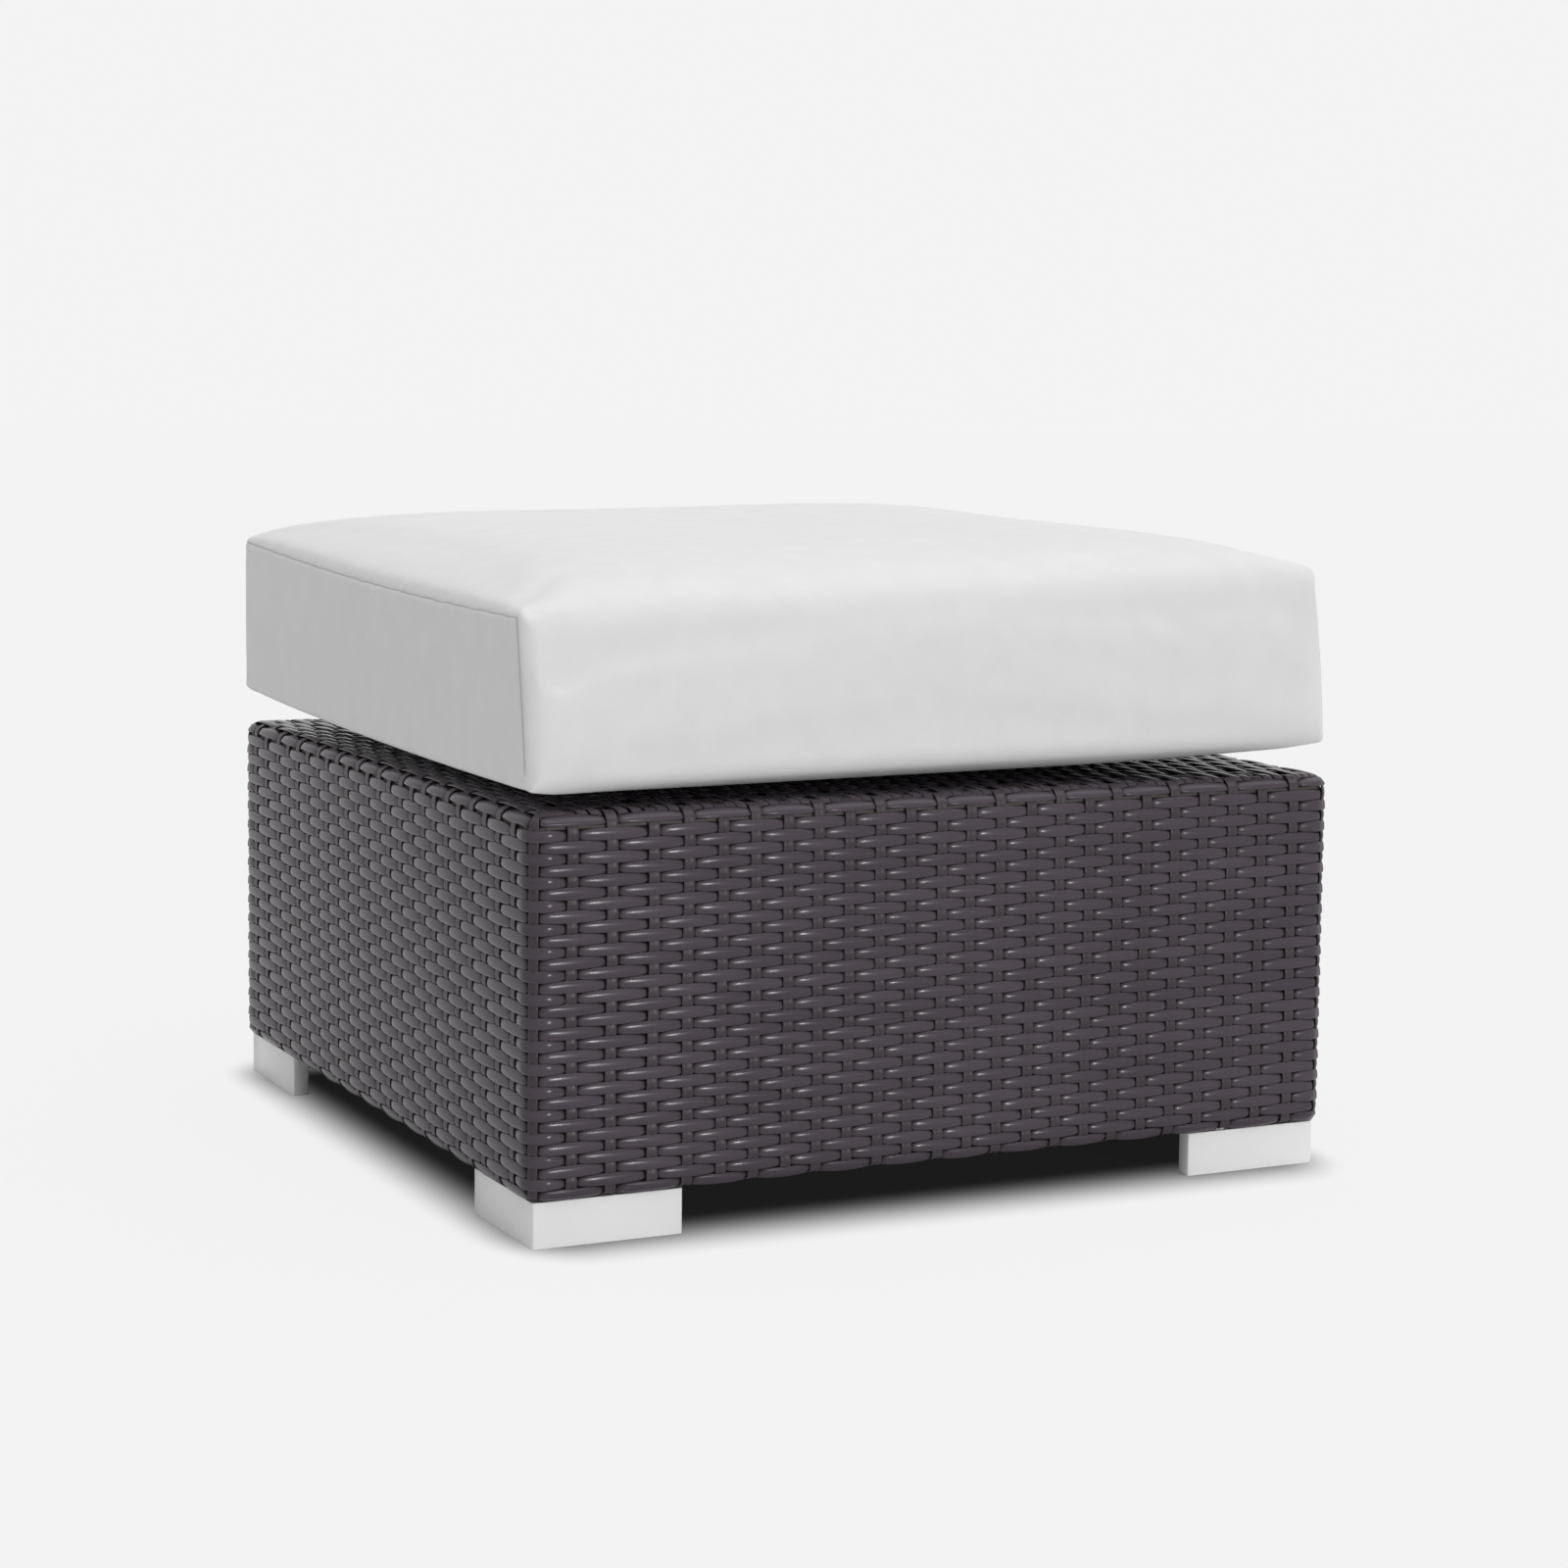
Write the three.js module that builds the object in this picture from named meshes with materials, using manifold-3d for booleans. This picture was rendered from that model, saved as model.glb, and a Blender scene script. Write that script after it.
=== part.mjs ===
// Outdoor ottoman footstool: a square woven box on four L-shaped feet, with a loose box cushion.
// Millimetres, +Z up. The origin is on the floor under the middle of the box, and the front faces -Y.
import * as THREE from 'three';
import { mergeVertices } from 'three/addons/utils/BufferGeometryUtils.js';
import Module from 'manifold-3d';

const wasm = await Module();
wasm.setup();

// Overall sizes
const BOX_SIDE = 700;
const SHELL_HEIGHT = 288;
const FOOT_HEIGHT = 35;
// Space between pieces that touch
const SEAT_GAP = 0.3;
// How far a cutting solid runs past the face it cuts
const CUT_OVERRUN = 2;

// Frame of round tube, with flat tubes under the deck
const TUBE_DIAMETER = 19;
const TUBE_WALL = 1.5;
const DRAIN_HOLE_DIAMETER = 6;
const DECK_BAR_COUNT = 3;
const DECK_BAR_WIDTH = 25;
const DECK_BAR_HEIGHT = 15;
const DECK_BAR_WALL = 1.5;

// Woven skin
const WEAVE_THICKNESS = 3.5;
const WEAVE_RELIEF = 1.6;
const STAKES_PER_SIDE = 26;
const PLAIN_ROWS = 31;
const DECK_ROWS = 26;
const LIP_DEGREES = 55;
const RIM_DEGREES = 80;

// Feet and their fasteners
const FOOT_ARM_LENGTH = 121;
const FOOT_THICKNESS = 15;
const FOOT_CORNER_RADIUS = 3;
const FOOT_BOSS_DIAMETER = 10;
const SCREW_FROM_CORNER = 88;
const SCREW_DIAMETER = 5;
const SCREW_HEAD_DIAMETER = 9;
const SCREW_HEAD_HEIGHT = 3;
const SCREW_SOCKET_DIAMETER = 4;
const SCREW_SOCKET_DEPTH = 1.8;
const SCREW_TIP_LENGTH = 2;
const COUNTERBORE_DEPTH = 20;
const COUNTERBORE_CLEARANCE = 0.5;
const NUT_BODY_DIAMETER = 7.6;
const NUT_FLANGE_DIAMETER = 10;
const NUT_FLANGE_THICKNESS = 0.8;
const NUT_LENGTH = 10;

// Cushion
const CUSHION_SIDE = 700;
const CUSHION_EDGE_HEIGHT = 140;
const CUSHION_CORNER_LIFT = 22;
const CUSHION_TOP_LIFT = 5;
const CUSHION_TOP_CROWN = 36;
const CUSHION_EDGE_DIP = 6;
const CUSHION_TOP_NEAR_SAG = 22;
const CUSHION_TOP_FAR_RISE = 8;
const CUSHION_BASE_NEAR_SAG = 10;
const CUSHION_BASE_BACK_RISE = 3;
const CUSHION_TOP_TAPER = 4.5;
const CUSHION_TOP_LEAN = 4.5;
const CUSHION_NEAR_PULL = 8;
const CUSHION_ROUNDING = 16;
const COVER_WALL = 2;

// Zip in the back of the cushion
const ZIP_FROM_CORNER = 70;
const ZIP_RECESS_DEPTH = 7.5;
const ZIP_SIDE_CLEARANCE = 1;
const TAPE_WIDTH = 24;
const TAPE_THICKNESS = 0.8;
const TAPE_SEAM_WIDTH = 4;
const CHAIN_WIDTH = 6;
const CHAIN_THICKNESS = 1.6;
const SLIDER_LENGTH = 11;
const SLIDER_WALL = 1.2;
const SLIDER_PLATE = 1;
const BRIDGE_LENGTH = 7.2;
const BRIDGE_BAR = 1.2;
const BRIDGE_WIDTH = 1.6;
const PULL_LENGTH = 28;
const PULL_WIDTH = 6;
const PULL_THICKNESS = 1.2;

// Sizes that follow from the ones above
const boxHalf = BOX_SIDE / 2;
const tubeRadius = TUBE_DIAMETER / 2;
const skinInnerRadius = tubeRadius + SEAT_GAP;
const edgeRadius = skinInnerRadius + WEAVE_THICKNESS;
const axisOffset = boxHalf - edgeRadius;
const bottomAxisZ = FOOT_HEIGHT + edgeRadius;
const deckTopZ = FOOT_HEIGHT + SHELL_HEIGHT;
const topAxisZ = deckTopZ - edgeRadius;
const deckUndersideZ = topAxisZ + skinInnerRadius;
const screwAxis = axisOffset - (SCREW_FROM_CORNER - FOOT_THICKNESS / 2);
const cushionBottomZ = deckTopZ + SEAT_GAP;
const zipZ = cushionBottomZ + CUSHION_CORNER_LIFT + CUSHION_EDGE_HEIGHT / 2;
const zipLength = CUSHION_SIDE - 2 * ZIP_FROM_CORNER;
const recessFloorY = CUSHION_SIDE / 2 - ZIP_RECESS_DEPTH;
const tapeBackY = recessFloorY + SEAT_GAP + TAPE_THICKNESS;
const chainBackY = tapeBackY + CHAIN_THICKNESS;
const sliderBackY = chainBackY + SEAT_GAP + SLIDER_PLATE;
const pullAxisY = sliderBackY + SEAT_GAP + PULL_THICKNESS / 2;
const sliderStartX = -(zipLength / 2 - PULL_LENGTH - ZIP_SIDE_CLEARANCE);

const TUBE_SIDES = 12;
const FASTENER_SIDES = 8;

const materials = {
  wicker: new THREE.MeshStandardMaterial({ color: 0x4a4449, roughness: 0.45, metalness: 0 }),
  tube: new THREE.MeshStandardMaterial({ color: 0x5a5654, roughness: 0.5, metalness: 0.3 }),
  foot: new THREE.MeshStandardMaterial({ color: 0xe6e6e4, roughness: 0.4, metalness: 0 }),
  steel: new THREE.MeshStandardMaterial({ color: 0xa8abad, roughness: 0.35, metalness: 1 }),
  fabric: new THREE.MeshStandardMaterial({ color: 0xe2e2e1, roughness: 0.9, metalness: 0 }),
  foam: new THREE.MeshStandardMaterial({ color: 0xefe9d8, roughness: 1, metalness: 0 }),
  zip: new THREE.MeshStandardMaterial({ color: 0xd2d2d0, roughness: 0.6, metalness: 0 }),
};

const degrees = THREE.MathUtils.degToRad;

// A closed geometry as a solid that can be cut and joined
function toSolid(geometry) {
  const bare = geometry.clone();
  bare.deleteAttribute('normal');
  bare.deleteAttribute('uv');
  const merged = mergeVertices(bare);
  return new wasm.Manifold(new wasm.Mesh({
    numProp: 3,
    vertProperties: merged.attributes.position.array,
    triVerts: Uint32Array.from(merged.index.array),
  }));
}

function toGeometry(solid) {
  const result = solid.getMesh();
  const geometry = new THREE.BufferGeometry();
  geometry.setAttribute('position', new THREE.BufferAttribute(result.vertProperties, 3));
  geometry.setIndex(new THREE.BufferAttribute(result.triVerts, 1));
  return geometry;
}

function cut(geometry, ...tools) {
  return toGeometry(tools.reduce((body, tool) => body.subtract(toSolid(tool)), toSolid(geometry)));
}

function join(geometry, ...others) {
  return toGeometry(others.reduce((body, other) => body.add(toSolid(other)), toSolid(geometry)));
}

// A box between two opposite corners
function block(low, high) {
  const geometry = new THREE.BoxGeometry(high[0] - low[0], high[1] - low[1], high[2] - low[2]);
  geometry.translate((low[0] + high[0]) / 2, (low[1] + high[1]) / 2, (low[2] + high[2]) / 2);
  return geometry;
}

// A solid of revolution about Z from [radius, height] pairs
function turned(profile, sides) {
  const geometry = new THREE.LatheGeometry(profile.map(([r, z]) => new THREE.Vector2(r, z)), sides);
  geometry.rotateX(Math.PI / 2);
  return geometry;
}

function rod(radius, low, high, sides) {
  return turned([[0, low], [radius, low], [radius, high], [0, high]], sides);
}

// Triangles of one closed body, from a grid of outer points, a grid of inner points and the rim between
class SkinBuilder {
  constructor() {
    this.points = [];
    this.faces = [];
  }

  addGrid(us, vs, place) {
    const first = this.points.length;
    vs.forEach((v) => us.forEach((u) => this.points.push(place(u, v))));
    return { us, vs, id: (i, j) => first + j * us.length + i };
  }

  // Faces of a grid; each quad is split between its two lowest corners, so every raised crossing is a pad
  fillGrid(grid, outward) {
    for (let j = 0; j < grid.vs.length - 1; j += 1) {
      for (let i = 0; i < grid.us.length - 1; i += 1) {
        const [a, b, c, d] = [grid.id(i, j), grid.id(i + 1, j), grid.id(i + 1, j + 1), grid.id(i, j + 1)];
        const joinLowAndHigh = (i + j) % 2 === 1;
        const pair = joinLowAndHigh ? [[a, b, c], [a, c, d]] : [[a, b, d], [b, c, d]];
        pair.forEach((face) => this.faces.push(outward ? face : face.toReversed()));
      }
    }
  }

  // The rim between two rows of points that run side by side
  stitch(outerIds, outerAt, innerIds, innerAt) {
    let i = 0;
    let j = 0;
    while (i < outerIds.length - 1 || j < innerIds.length - 1) {
      const innerDone = j === innerIds.length - 1;
      const stepOuter = i < outerIds.length - 1 && (innerDone || outerAt[i + 1] <= innerAt[j + 1]);
      if (stepOuter) {
        this.faces.push([outerIds[i + 1], outerIds[i], innerIds[j]]);
        i += 1;
      } else {
        this.faces.push([outerIds[i], innerIds[j], innerIds[j + 1]]);
        j += 1;
      }
    }
  }

  closeRim(outer, inner) {
    const line = (values, pick) => values.map((value, index) => pick(index));
    const at = (values) => values.map((value) => value.at);
    const back = (values) => at(values).map((value) => -value).toReversed();
    const edges = [
      [(g) => line(g.us, (i) => g.id(i, 0)), (g) => at(g.us)],
      [(g) => line(g.vs, (j) => g.id(g.us.length - 1, j)), (g) => at(g.vs)],
      [(g) => line(g.us, (i) => g.id(i, g.vs.length - 1)).toReversed(), (g) => back(g.us)],
      [(g) => line(g.vs, (j) => g.id(0, j)).toReversed(), (g) => back(g.vs)],
    ];
    edges.forEach(([ids, places]) => this.stitch(ids(outer), places(outer), ids(inner), places(inner)));
  }

  geometry() {
    const geometry = new THREE.BufferGeometry();
    geometry.setAttribute('position', new THREE.Float32BufferAttribute(this.points.flat(), 3));
    geometry.setIndex(this.faces.flat());
    return geometry;
  }
}

// Angles of a faceted arc whose flats touch the true circle, with each point's radius as a share of it
function outsideArc(start, end, flats) {
  const step = (end - start) / flats;
  const share = 1 / Math.cos(step / 2);
  const middle = Array.from({ length: flats }, (_, k) => ({ angle: start + (k + 0.5) * step, share }));
  return [{ angle: start, share: 1 }, ...middle, { angle: end, share: 1 }];
}

// Columns of the front skin: the corner at each end turns 45 degrees, and the stakes stand between
function skinColumns(turns, stakes) {
  const corner = turns.map(({ angle, share }) => {
    const at = -axisOffset + edgeRadius * angle;
    return { x: -axisOffset, turn: angle, share, at };
  });
  const mirrored = corner.map((c) => ({ x: -c.x, turn: -c.turn, share: c.share, at: -c.at })).toReversed();
  const pitch = (2 * axisOffset) / (stakes - 1);
  const straight = Array.from({ length: stakes }, (_, k) => {
    const x = -axisOffset + k * pitch;
    return { x, turn: 0, share: 1, at: x, stake: k };
  });
  return [...corner.slice(0, -1), ...straight, ...mirrored.slice(1)];
}

// Rows of the front skin: the lip under the bottom rail, the plain rows, and the rim over the top rail
function skinRows(lip, rows, rim) {
  const span = topAxisZ - bottomAxisZ;
  const bent = (list, z, base) => list.map(({ angle, share }) => {
    const at = base + edgeRadius * angle;
    return { z, tilt: angle, share, at };
  });
  const straight = Array.from({ length: rows }, (_, k) => {
    const rise = (k * span) / (rows - 1);
    return { z: bottomAxisZ + rise, tilt: 0, share: 1, at: rise, row: k };
  });
  return [...bent(lip, bottomAxisZ, 0).slice(0, -1), ...straight, ...bent(rim, topAxisZ, span).slice(1)];
}

// A point of the skin, at a depth below its outer face, kept half a gap off the mitre at each corner
function skinPoint(column, row, depth) {
  const radius = edgeRadius - depth;
  const level = radius * row.share * Math.cos(row.tilt) * column.share;
  const off = Math.abs(column.turn) === degrees(45) ? -Math.sign(column.turn) * (SEAT_GAP / 2) : 0;
  return [
    column.x + level * Math.sin(column.turn) + off * Math.cos(column.turn),
    -axisOffset - level * Math.cos(column.turn) + off * Math.sin(column.turn),
    row.z + radius * row.share * Math.sin(row.tilt),
  ];
}

// How deep a crossing lies: the weaver stands out over one stake and dips under the next
function crossingDepth(column, row) {
  if (column.stake === undefined) return WEAVE_RELIEF / 2;
  if (row.row === undefined) return column.stake % 2 === 0 ? 0 : WEAVE_RELIEF / 2;
  return (column.stake + row.row) % 2 === 0 ? 0 : WEAVE_RELIEF;
}

// One woven side, from the middle of one corner to the middle of the next
function wovenSide() {
  const skin = new SkinBuilder();
  const plain = (angles) => angles.map((angle) => ({ angle: degrees(angle), share: 1 }));
  const outer = skin.addGrid(
    skinColumns(plain([-45, 0]), STAKES_PER_SIDE),
    skinRows(plain([-LIP_DEGREES, 0]), PLAIN_ROWS, plain([0, RIM_DEGREES / 2, RIM_DEGREES])),
    (column, row) => skinPoint(column, row, crossingDepth(column, row)),
  );
  const inner = skin.addGrid(
    skinColumns(outsideArc(degrees(-45), 0, 2), 2),
    skinRows(outsideArc(degrees(-LIP_DEGREES), 0, 2), 2, outsideArc(0, degrees(RIM_DEGREES), 2)),
    (column, row) => skinPoint(column, row, WEAVE_THICKNESS),
  );
  skin.fillGrid(outer, true);
  skin.fillGrid(inner, false);
  skin.closeRim(outer, inner);
  return skin.geometry();
}

// The woven deck: weavers run front to back over stakes that run from side to side
function wovenDeck() {
  const half = axisOffset + skinInnerRadius * Math.cos(degrees(RIM_DEGREES)) - SEAT_GAP;
  const cornerPull = (half - axisOffset) * (1 - Math.SQRT1_2);
  const line = (count) => Array.from({ length: count }, (_, k) => {
    const at = -half + (k * 2 * half) / (count - 1);
    return { at, order: k, last: count - 1 };
  });
  const atEnd = (p) => p.order === 0 || p.order === p.last;
  const place = (p, q, z) => {
    const pull = atEnd(p) && atEnd(q) ? cornerPull : 0;
    return [p.at - Math.sign(p.at) * pull, q.at - Math.sign(q.at) * pull, z];
  };
  const depth = (p, q) => {
    if (atEnd(p) || atEnd(q)) return WEAVE_RELIEF / 2;
    return ((p.order + q.order) % 2) * WEAVE_RELIEF;
  };
  const skin = new SkinBuilder();
  const surface = (p, q) => place(p, q, deckTopZ - depth(p, q));
  const outer = skin.addGrid(line(DECK_ROWS), line(STAKES_PER_SIDE), surface);
  const inner = skin.addGrid(line(2), line(2), (p, q) => place(p, q, deckUndersideZ));
  skin.fillGrid(outer, true);
  skin.fillGrid(inner, false);
  skin.closeRim(outer, inner);
  return skin.geometry();
}

// The outside of a corner post: a tube with round ends that the weave can turn over
function postOutline(radius, flats) {
  const quarter = Array.from({ length: flats + 1 }, (_, k) => degrees((90 * k) / flats));
  const low = quarter.map((a) => [radius * Math.sin(a), bottomAxisZ - radius * Math.cos(a)]);
  const high = quarter.map((a) => [radius * Math.cos(a), topAxisZ + radius * Math.sin(a)]);
  return [...low, ...high];
}

function cornerPost() {
  const bore = tubeRadius - TUBE_WALL;
  const drain = DRAIN_HOLE_DIAMETER / 2;
  const outside = turned(postOutline(tubeRadius, 2), TUBE_SIDES);
  const hollow = [[0, bottomAxisZ], [bore, bottomAxisZ], [bore, topAxisZ], [0, topAxisZ]];
  const inside = turned(hollow, TUBE_SIDES);
  const hole = rod(drain, bottomAxisZ - tubeRadius - CUT_OVERRUN, bottomAxisZ + CUT_OVERRUN, TUBE_SIDES);
  return cut(outside, inside, hole);
}

// A straight tube along X, as the frame's rails are before their ends are cut
function plainTube(length) {
  const bore = tubeRadius - TUBE_WALL;
  const [low, high] = [-length / 2, length / 2];
  const wall = [[bore, low], [tubeRadius, low], [tubeRadius, high], [bore, high], [bore, low]];
  const tube = turned(wall, TUBE_SIDES);
  tube.rotateY(Math.PI / 2);
  return tube;
}

// The front rail at a height: mitred to its neighbours and coped to the corner posts
function frontRail(z, ...holes) {
  const tube = plainTube(2 * axisOffset);
  tube.translate(0, -axisOffset, z);
  const tools = [-1, 1].flatMap((side) => {
    const post = turned(postOutline(tubeRadius + SEAT_GAP, 4), TUBE_SIDES);
    post.translate(side * axisOffset, -axisOffset, 0);
    const cutter = 4 * TUBE_DIAMETER;
    const mitre = new THREE.BoxGeometry(cutter, cutter, cutter);
    mitre.translate(cutter / 2 - SEAT_GAP / 2, 0, 0);
    mitre.rotateZ(side < 0 ? degrees(135) : degrees(45));
    mitre.translate(side * axisOffset, -axisOffset, z);
    return [post, mitre];
  });
  return cut(tube, ...tools, ...holes);
}

// The holes for the two rivet nuts in the front bottom rail
function nutHoles() {
  const radius = NUT_BODY_DIAMETER / 2 + SEAT_GAP;
  return [-1, 1].map((side) => {
    const hole = rod(radius, bottomAxisZ - tubeRadius - CUT_OVERRUN, bottomAxisZ, FASTENER_SIDES);
    hole.translate(side * screwAxis, -axisOffset, 0);
    return hole;
  });
}

// A flat tube under the deck, from the front top rail to the back one
function deckBar(x) {
  const outline = (width, height) => {
    const shape = new THREE.Shape();
    shape.moveTo(-width / 2, -height / 2);
    shape.lineTo(width / 2, -height / 2);
    shape.lineTo(width / 2, height / 2);
    shape.lineTo(-width / 2, height / 2);
    shape.closePath();
    return shape;
  };
  const section = outline(DECK_BAR_WIDTH, DECK_BAR_HEIGHT);
  section.holes.push(outline(DECK_BAR_WIDTH - 2 * DECK_BAR_WALL, DECK_BAR_HEIGHT - 2 * DECK_BAR_WALL));
  const bar = new THREE.ExtrudeGeometry(section, { depth: 2 * axisOffset, bevelEnabled: false });
  bar.translate(0, 0, -axisOffset);
  bar.rotateX(Math.PI / 2);
  bar.translate(x, 0, topAxisZ + tubeRadius - DECK_BAR_HEIGHT / 2);
  const rails = [-1, 1].map((side) => {
    const length = DECK_BAR_WIDTH + 2 * CUT_OVERRUN;
    const rail = rod(tubeRadius + SEAT_GAP, -length / 2, length / 2, TUBE_SIDES);
    rail.rotateY(Math.PI / 2);
    rail.translate(x, side * axisOffset, topAxisZ);
    return rail;
  });
  return cut(bar, ...rails);
}

// The foot's outline from above: its outer corner points to -X -Y, and the rail axes cross at the origin
function footOutline() {
  const out = -FOOT_THICKNESS / 2;
  const end = out + FOOT_ARM_LENGTH;
  const inside = FOOT_THICKNESS / 2;
  const corners = [[out, out], [end, out], [end, inside], [inside, inside], [inside, end], [out, end]];
  const shape = new THREE.Shape();
  corners.forEach(([x, y], k) => {
    const before = new THREE.Vector2(...corners.at(k - 1));
    const after = new THREE.Vector2(...corners[(k + 1) % corners.length]);
    const here = new THREE.Vector2(x, y);
    const enter = here.clone().add(before.sub(here).setLength(FOOT_CORNER_RADIUS));
    const leave = here.clone().add(after.sub(here).setLength(FOOT_CORNER_RADIUS));
    if (k === 0) shape.moveTo(enter.x, enter.y);
    else shape.lineTo(enter.x, enter.y);
    shape.quadraticCurveTo(x, y, leave.x, leave.y);
  });
  shape.closePath();
  return shape;
}

// The two screw places of the foot at the front left corner, from the crossing of the rail axes
function screwPlaces() {
  const along = axisOffset - screwAxis;
  return [[along, 0], [0, along]];
}

const bossTopZ = bottomAxisZ - tubeRadius - 2 * SEAT_GAP - NUT_FLANGE_THICKNESS;

function foot() {
  const body = new THREE.ExtrudeGeometry(footOutline(), {
    depth: FOOT_HEIGHT,
    bevelEnabled: false,
    curveSegments: 2,
  });
  const atScrews = (radius, low, high) => screwPlaces().map(([x, y]) => {
    const piece = rod(radius, low, high, FASTENER_SIDES);
    piece.translate(x, y, 0);
    return piece;
  });
  const bosses = atScrews(FOOT_BOSS_DIAMETER / 2, FOOT_HEIGHT - CUT_OVERRUN, bossTopZ);
  const bores = atScrews(SCREW_DIAMETER / 2 + SEAT_GAP, CUT_OVERRUN, bossTopZ + CUT_OVERRUN);
  const sinks = atScrews(SCREW_HEAD_DIAMETER / 2 + COUNTERBORE_CLEARANCE, -CUT_OVERRUN, COUNTERBORE_DEPTH);
  return cut(join(body, ...bosses), ...bores, ...sinks);
}

// A screw with a socket head, pointing up, with its head against the shoulder of the counterbore
function footScrew() {
  const shank = SCREW_DIAMETER / 2;
  const head = SCREW_HEAD_DIAMETER / 2;
  const socket = SCREW_SOCKET_DIAMETER / 2;
  const seat = COUNTERBORE_DEPTH - SEAT_GAP;
  const low = seat - SCREW_HEAD_HEIGHT;
  const tip = bossTopZ + SEAT_GAP + NUT_LENGTH + SCREW_TIP_LENGTH;
  return turned([
    [0, low + SCREW_SOCKET_DEPTH],
    [socket, low + SCREW_SOCKET_DEPTH],
    [socket, low],
    [head, low],
    [head, seat],
    [shank, seat],
    [shank, tip],
    [0, tip],
  ], FASTENER_SIDES);
}

function rivetNut() {
  const low = bossTopZ + SEAT_GAP;
  const bore = SCREW_DIAMETER / 2 + SEAT_GAP;
  const body = NUT_BODY_DIAMETER / 2;
  return turned([
    [bore, low],
    [NUT_FLANGE_DIAMETER / 2, low],
    [NUT_FLANGE_DIAMETER / 2, low + NUT_FLANGE_THICKNESS],
    [body, low + NUT_FLANGE_THICKNESS],
    [body, low + NUT_LENGTH],
    [bore, low + NUT_LENGTH],
    [bore, low],
  ], FASTENER_SIDES);
}

// The cushion's form, smaller by an inset on every side: a pillow with a nearly flat top, whose underside
// rests in its middle. Its front left corner sags, its back right one stands up and its top leans back
function cushionForm(inset) {
  const planShares = [-1, -0.96, -0.86, -0.5, 0, 0.5, 0.86, 0.96, 1];
  const heightShares = [-1, -0.8, 0, 0.8, 1];
  const half = CUSHION_SIDE / 2 - inset;
  const rise = CUSHION_EDGE_HEIGHT / 2 - inset;
  const rounding = CUSHION_ROUNDING - inset;
  const across = planShares.length - 1;
  const form = new THREE.BoxGeometry(2, 2, 2, across, across, heightShares.length - 1);
  const share = (table, value) => table[Math.round(((value + 1) / 2) * (table.length - 1))];
  const position = form.attributes.position;
  for (let k = 0; k < position.count; k += 1) {
    const raw = new THREE.Vector3(
      half * share(planShares, position.getX(k)),
      half * share(planShares, position.getY(k)),
      rise * share(heightShares, position.getZ(k)),
    );
    const core = new THREE.Vector3(half - rounding, half - rounding, rise - rounding);
    const kept = raw.clone().clamp(core.clone().negate(), core);
    const point = kept.clone().add(raw.sub(kept).setLength(rounding));
    const [x, y, up] = [point.x / half, point.y / half, point.z / rise];
    const near = ((1 - x) * (1 - y)) / 4;
    const far = ((1 + x) * (1 + y)) / 4;
    const pillow = Math.max(0, (1 - x ** 4) * (1 - y ** 4));
    const topEdge = CUSHION_TOP_LIFT - CUSHION_EDGE_DIP * (2 - x * x - y * y);
    const topCorner = CUSHION_TOP_FAR_RISE * far - CUSHION_TOP_NEAR_SAG * near;
    const above = topEdge + topCorner + CUSHION_TOP_CROWN * pillow ** 0.6;
    const baseEdge = (CUSHION_BASE_BACK_RISE * (1 + y)) / 2 - CUSHION_BASE_NEAR_SAG * near;
    const below = THREE.MathUtils.lerp(baseEdge, -CUSHION_CORNER_LIFT, pillow);
    const lift = THREE.MathUtils.lerp(below, above, (up + 1) / 2);
    const high = Math.max(0, up) ** 2;
    const taper = 1 - (CUSHION_TOP_TAPER / half) * high;
    const back = (CUSHION_TOP_LEAN + CUSHION_NEAR_PULL * near) * high;
    position.setXYZ(
      k,
      point.x * taper - CUSHION_TOP_LEAN * high,
      point.y * taper + back,
      zipZ + point.z + lift,
    );
  }
  return form;
}

// The space that the zip takes in the back of the cushion, wider by a margin for the cloth round it
function zipRecess(margin) {
  const across = zipLength / 2 + ZIP_SIDE_CLEARANCE + margin;
  const up = TAPE_WIDTH / 2 + ZIP_SIDE_CLEARANCE + margin;
  const back = CUSHION_SIDE / 2 + CUT_OVERRUN;
  return block([-across, recessFloorY - margin, zipZ - up], [across, back, zipZ + up]);
}

function cushionCover() {
  const cavity = cut(cushionForm(COVER_WALL), zipRecess(COVER_WALL));
  const across = zipLength / 2 - TAPE_SEAM_WIDTH;
  const up = TAPE_WIDTH / 2 - TAPE_SEAM_WIDTH;
  const slot = block(
    [-across, recessFloorY - COVER_WALL - CUT_OVERRUN, zipZ - up],
    [across, recessFloorY + CUT_OVERRUN, zipZ + up],
  );
  return cut(cushionForm(0), cavity, zipRecess(0), slot);
}

function cushionFoam() {
  return cut(cushionForm(COVER_WALL + SEAT_GAP), zipRecess(COVER_WALL + SEAT_GAP));
}

// The zip's tape, with the closed chain as a ridge along its middle
function zipTape() {
  const floor = recessFloorY + SEAT_GAP;
  const shape = new THREE.Shape();
  shape.moveTo(floor, -TAPE_WIDTH / 2);
  shape.lineTo(tapeBackY, -TAPE_WIDTH / 2);
  shape.lineTo(tapeBackY, -CHAIN_WIDTH / 2);
  shape.lineTo(chainBackY, -CHAIN_WIDTH / 2);
  shape.lineTo(chainBackY, CHAIN_WIDTH / 2);
  shape.lineTo(tapeBackY, CHAIN_WIDTH / 2);
  shape.lineTo(tapeBackY, TAPE_WIDTH / 2);
  shape.lineTo(floor, TAPE_WIDTH / 2);
  shape.closePath();
  const tape = new THREE.ExtrudeGeometry(shape, { depth: zipLength, bevelEnabled: false });
  tape.translate(0, zipZ, -zipLength / 2);
  // The section's first axis is Y and its second is Z; the length runs along X
  tape.applyMatrix4(new THREE.Matrix4().set(0, 0, 1, 0, 1, 0, 0, 0, 0, 1, 0, 0, 0, 0, 0, 1));
  return tape;
}

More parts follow.
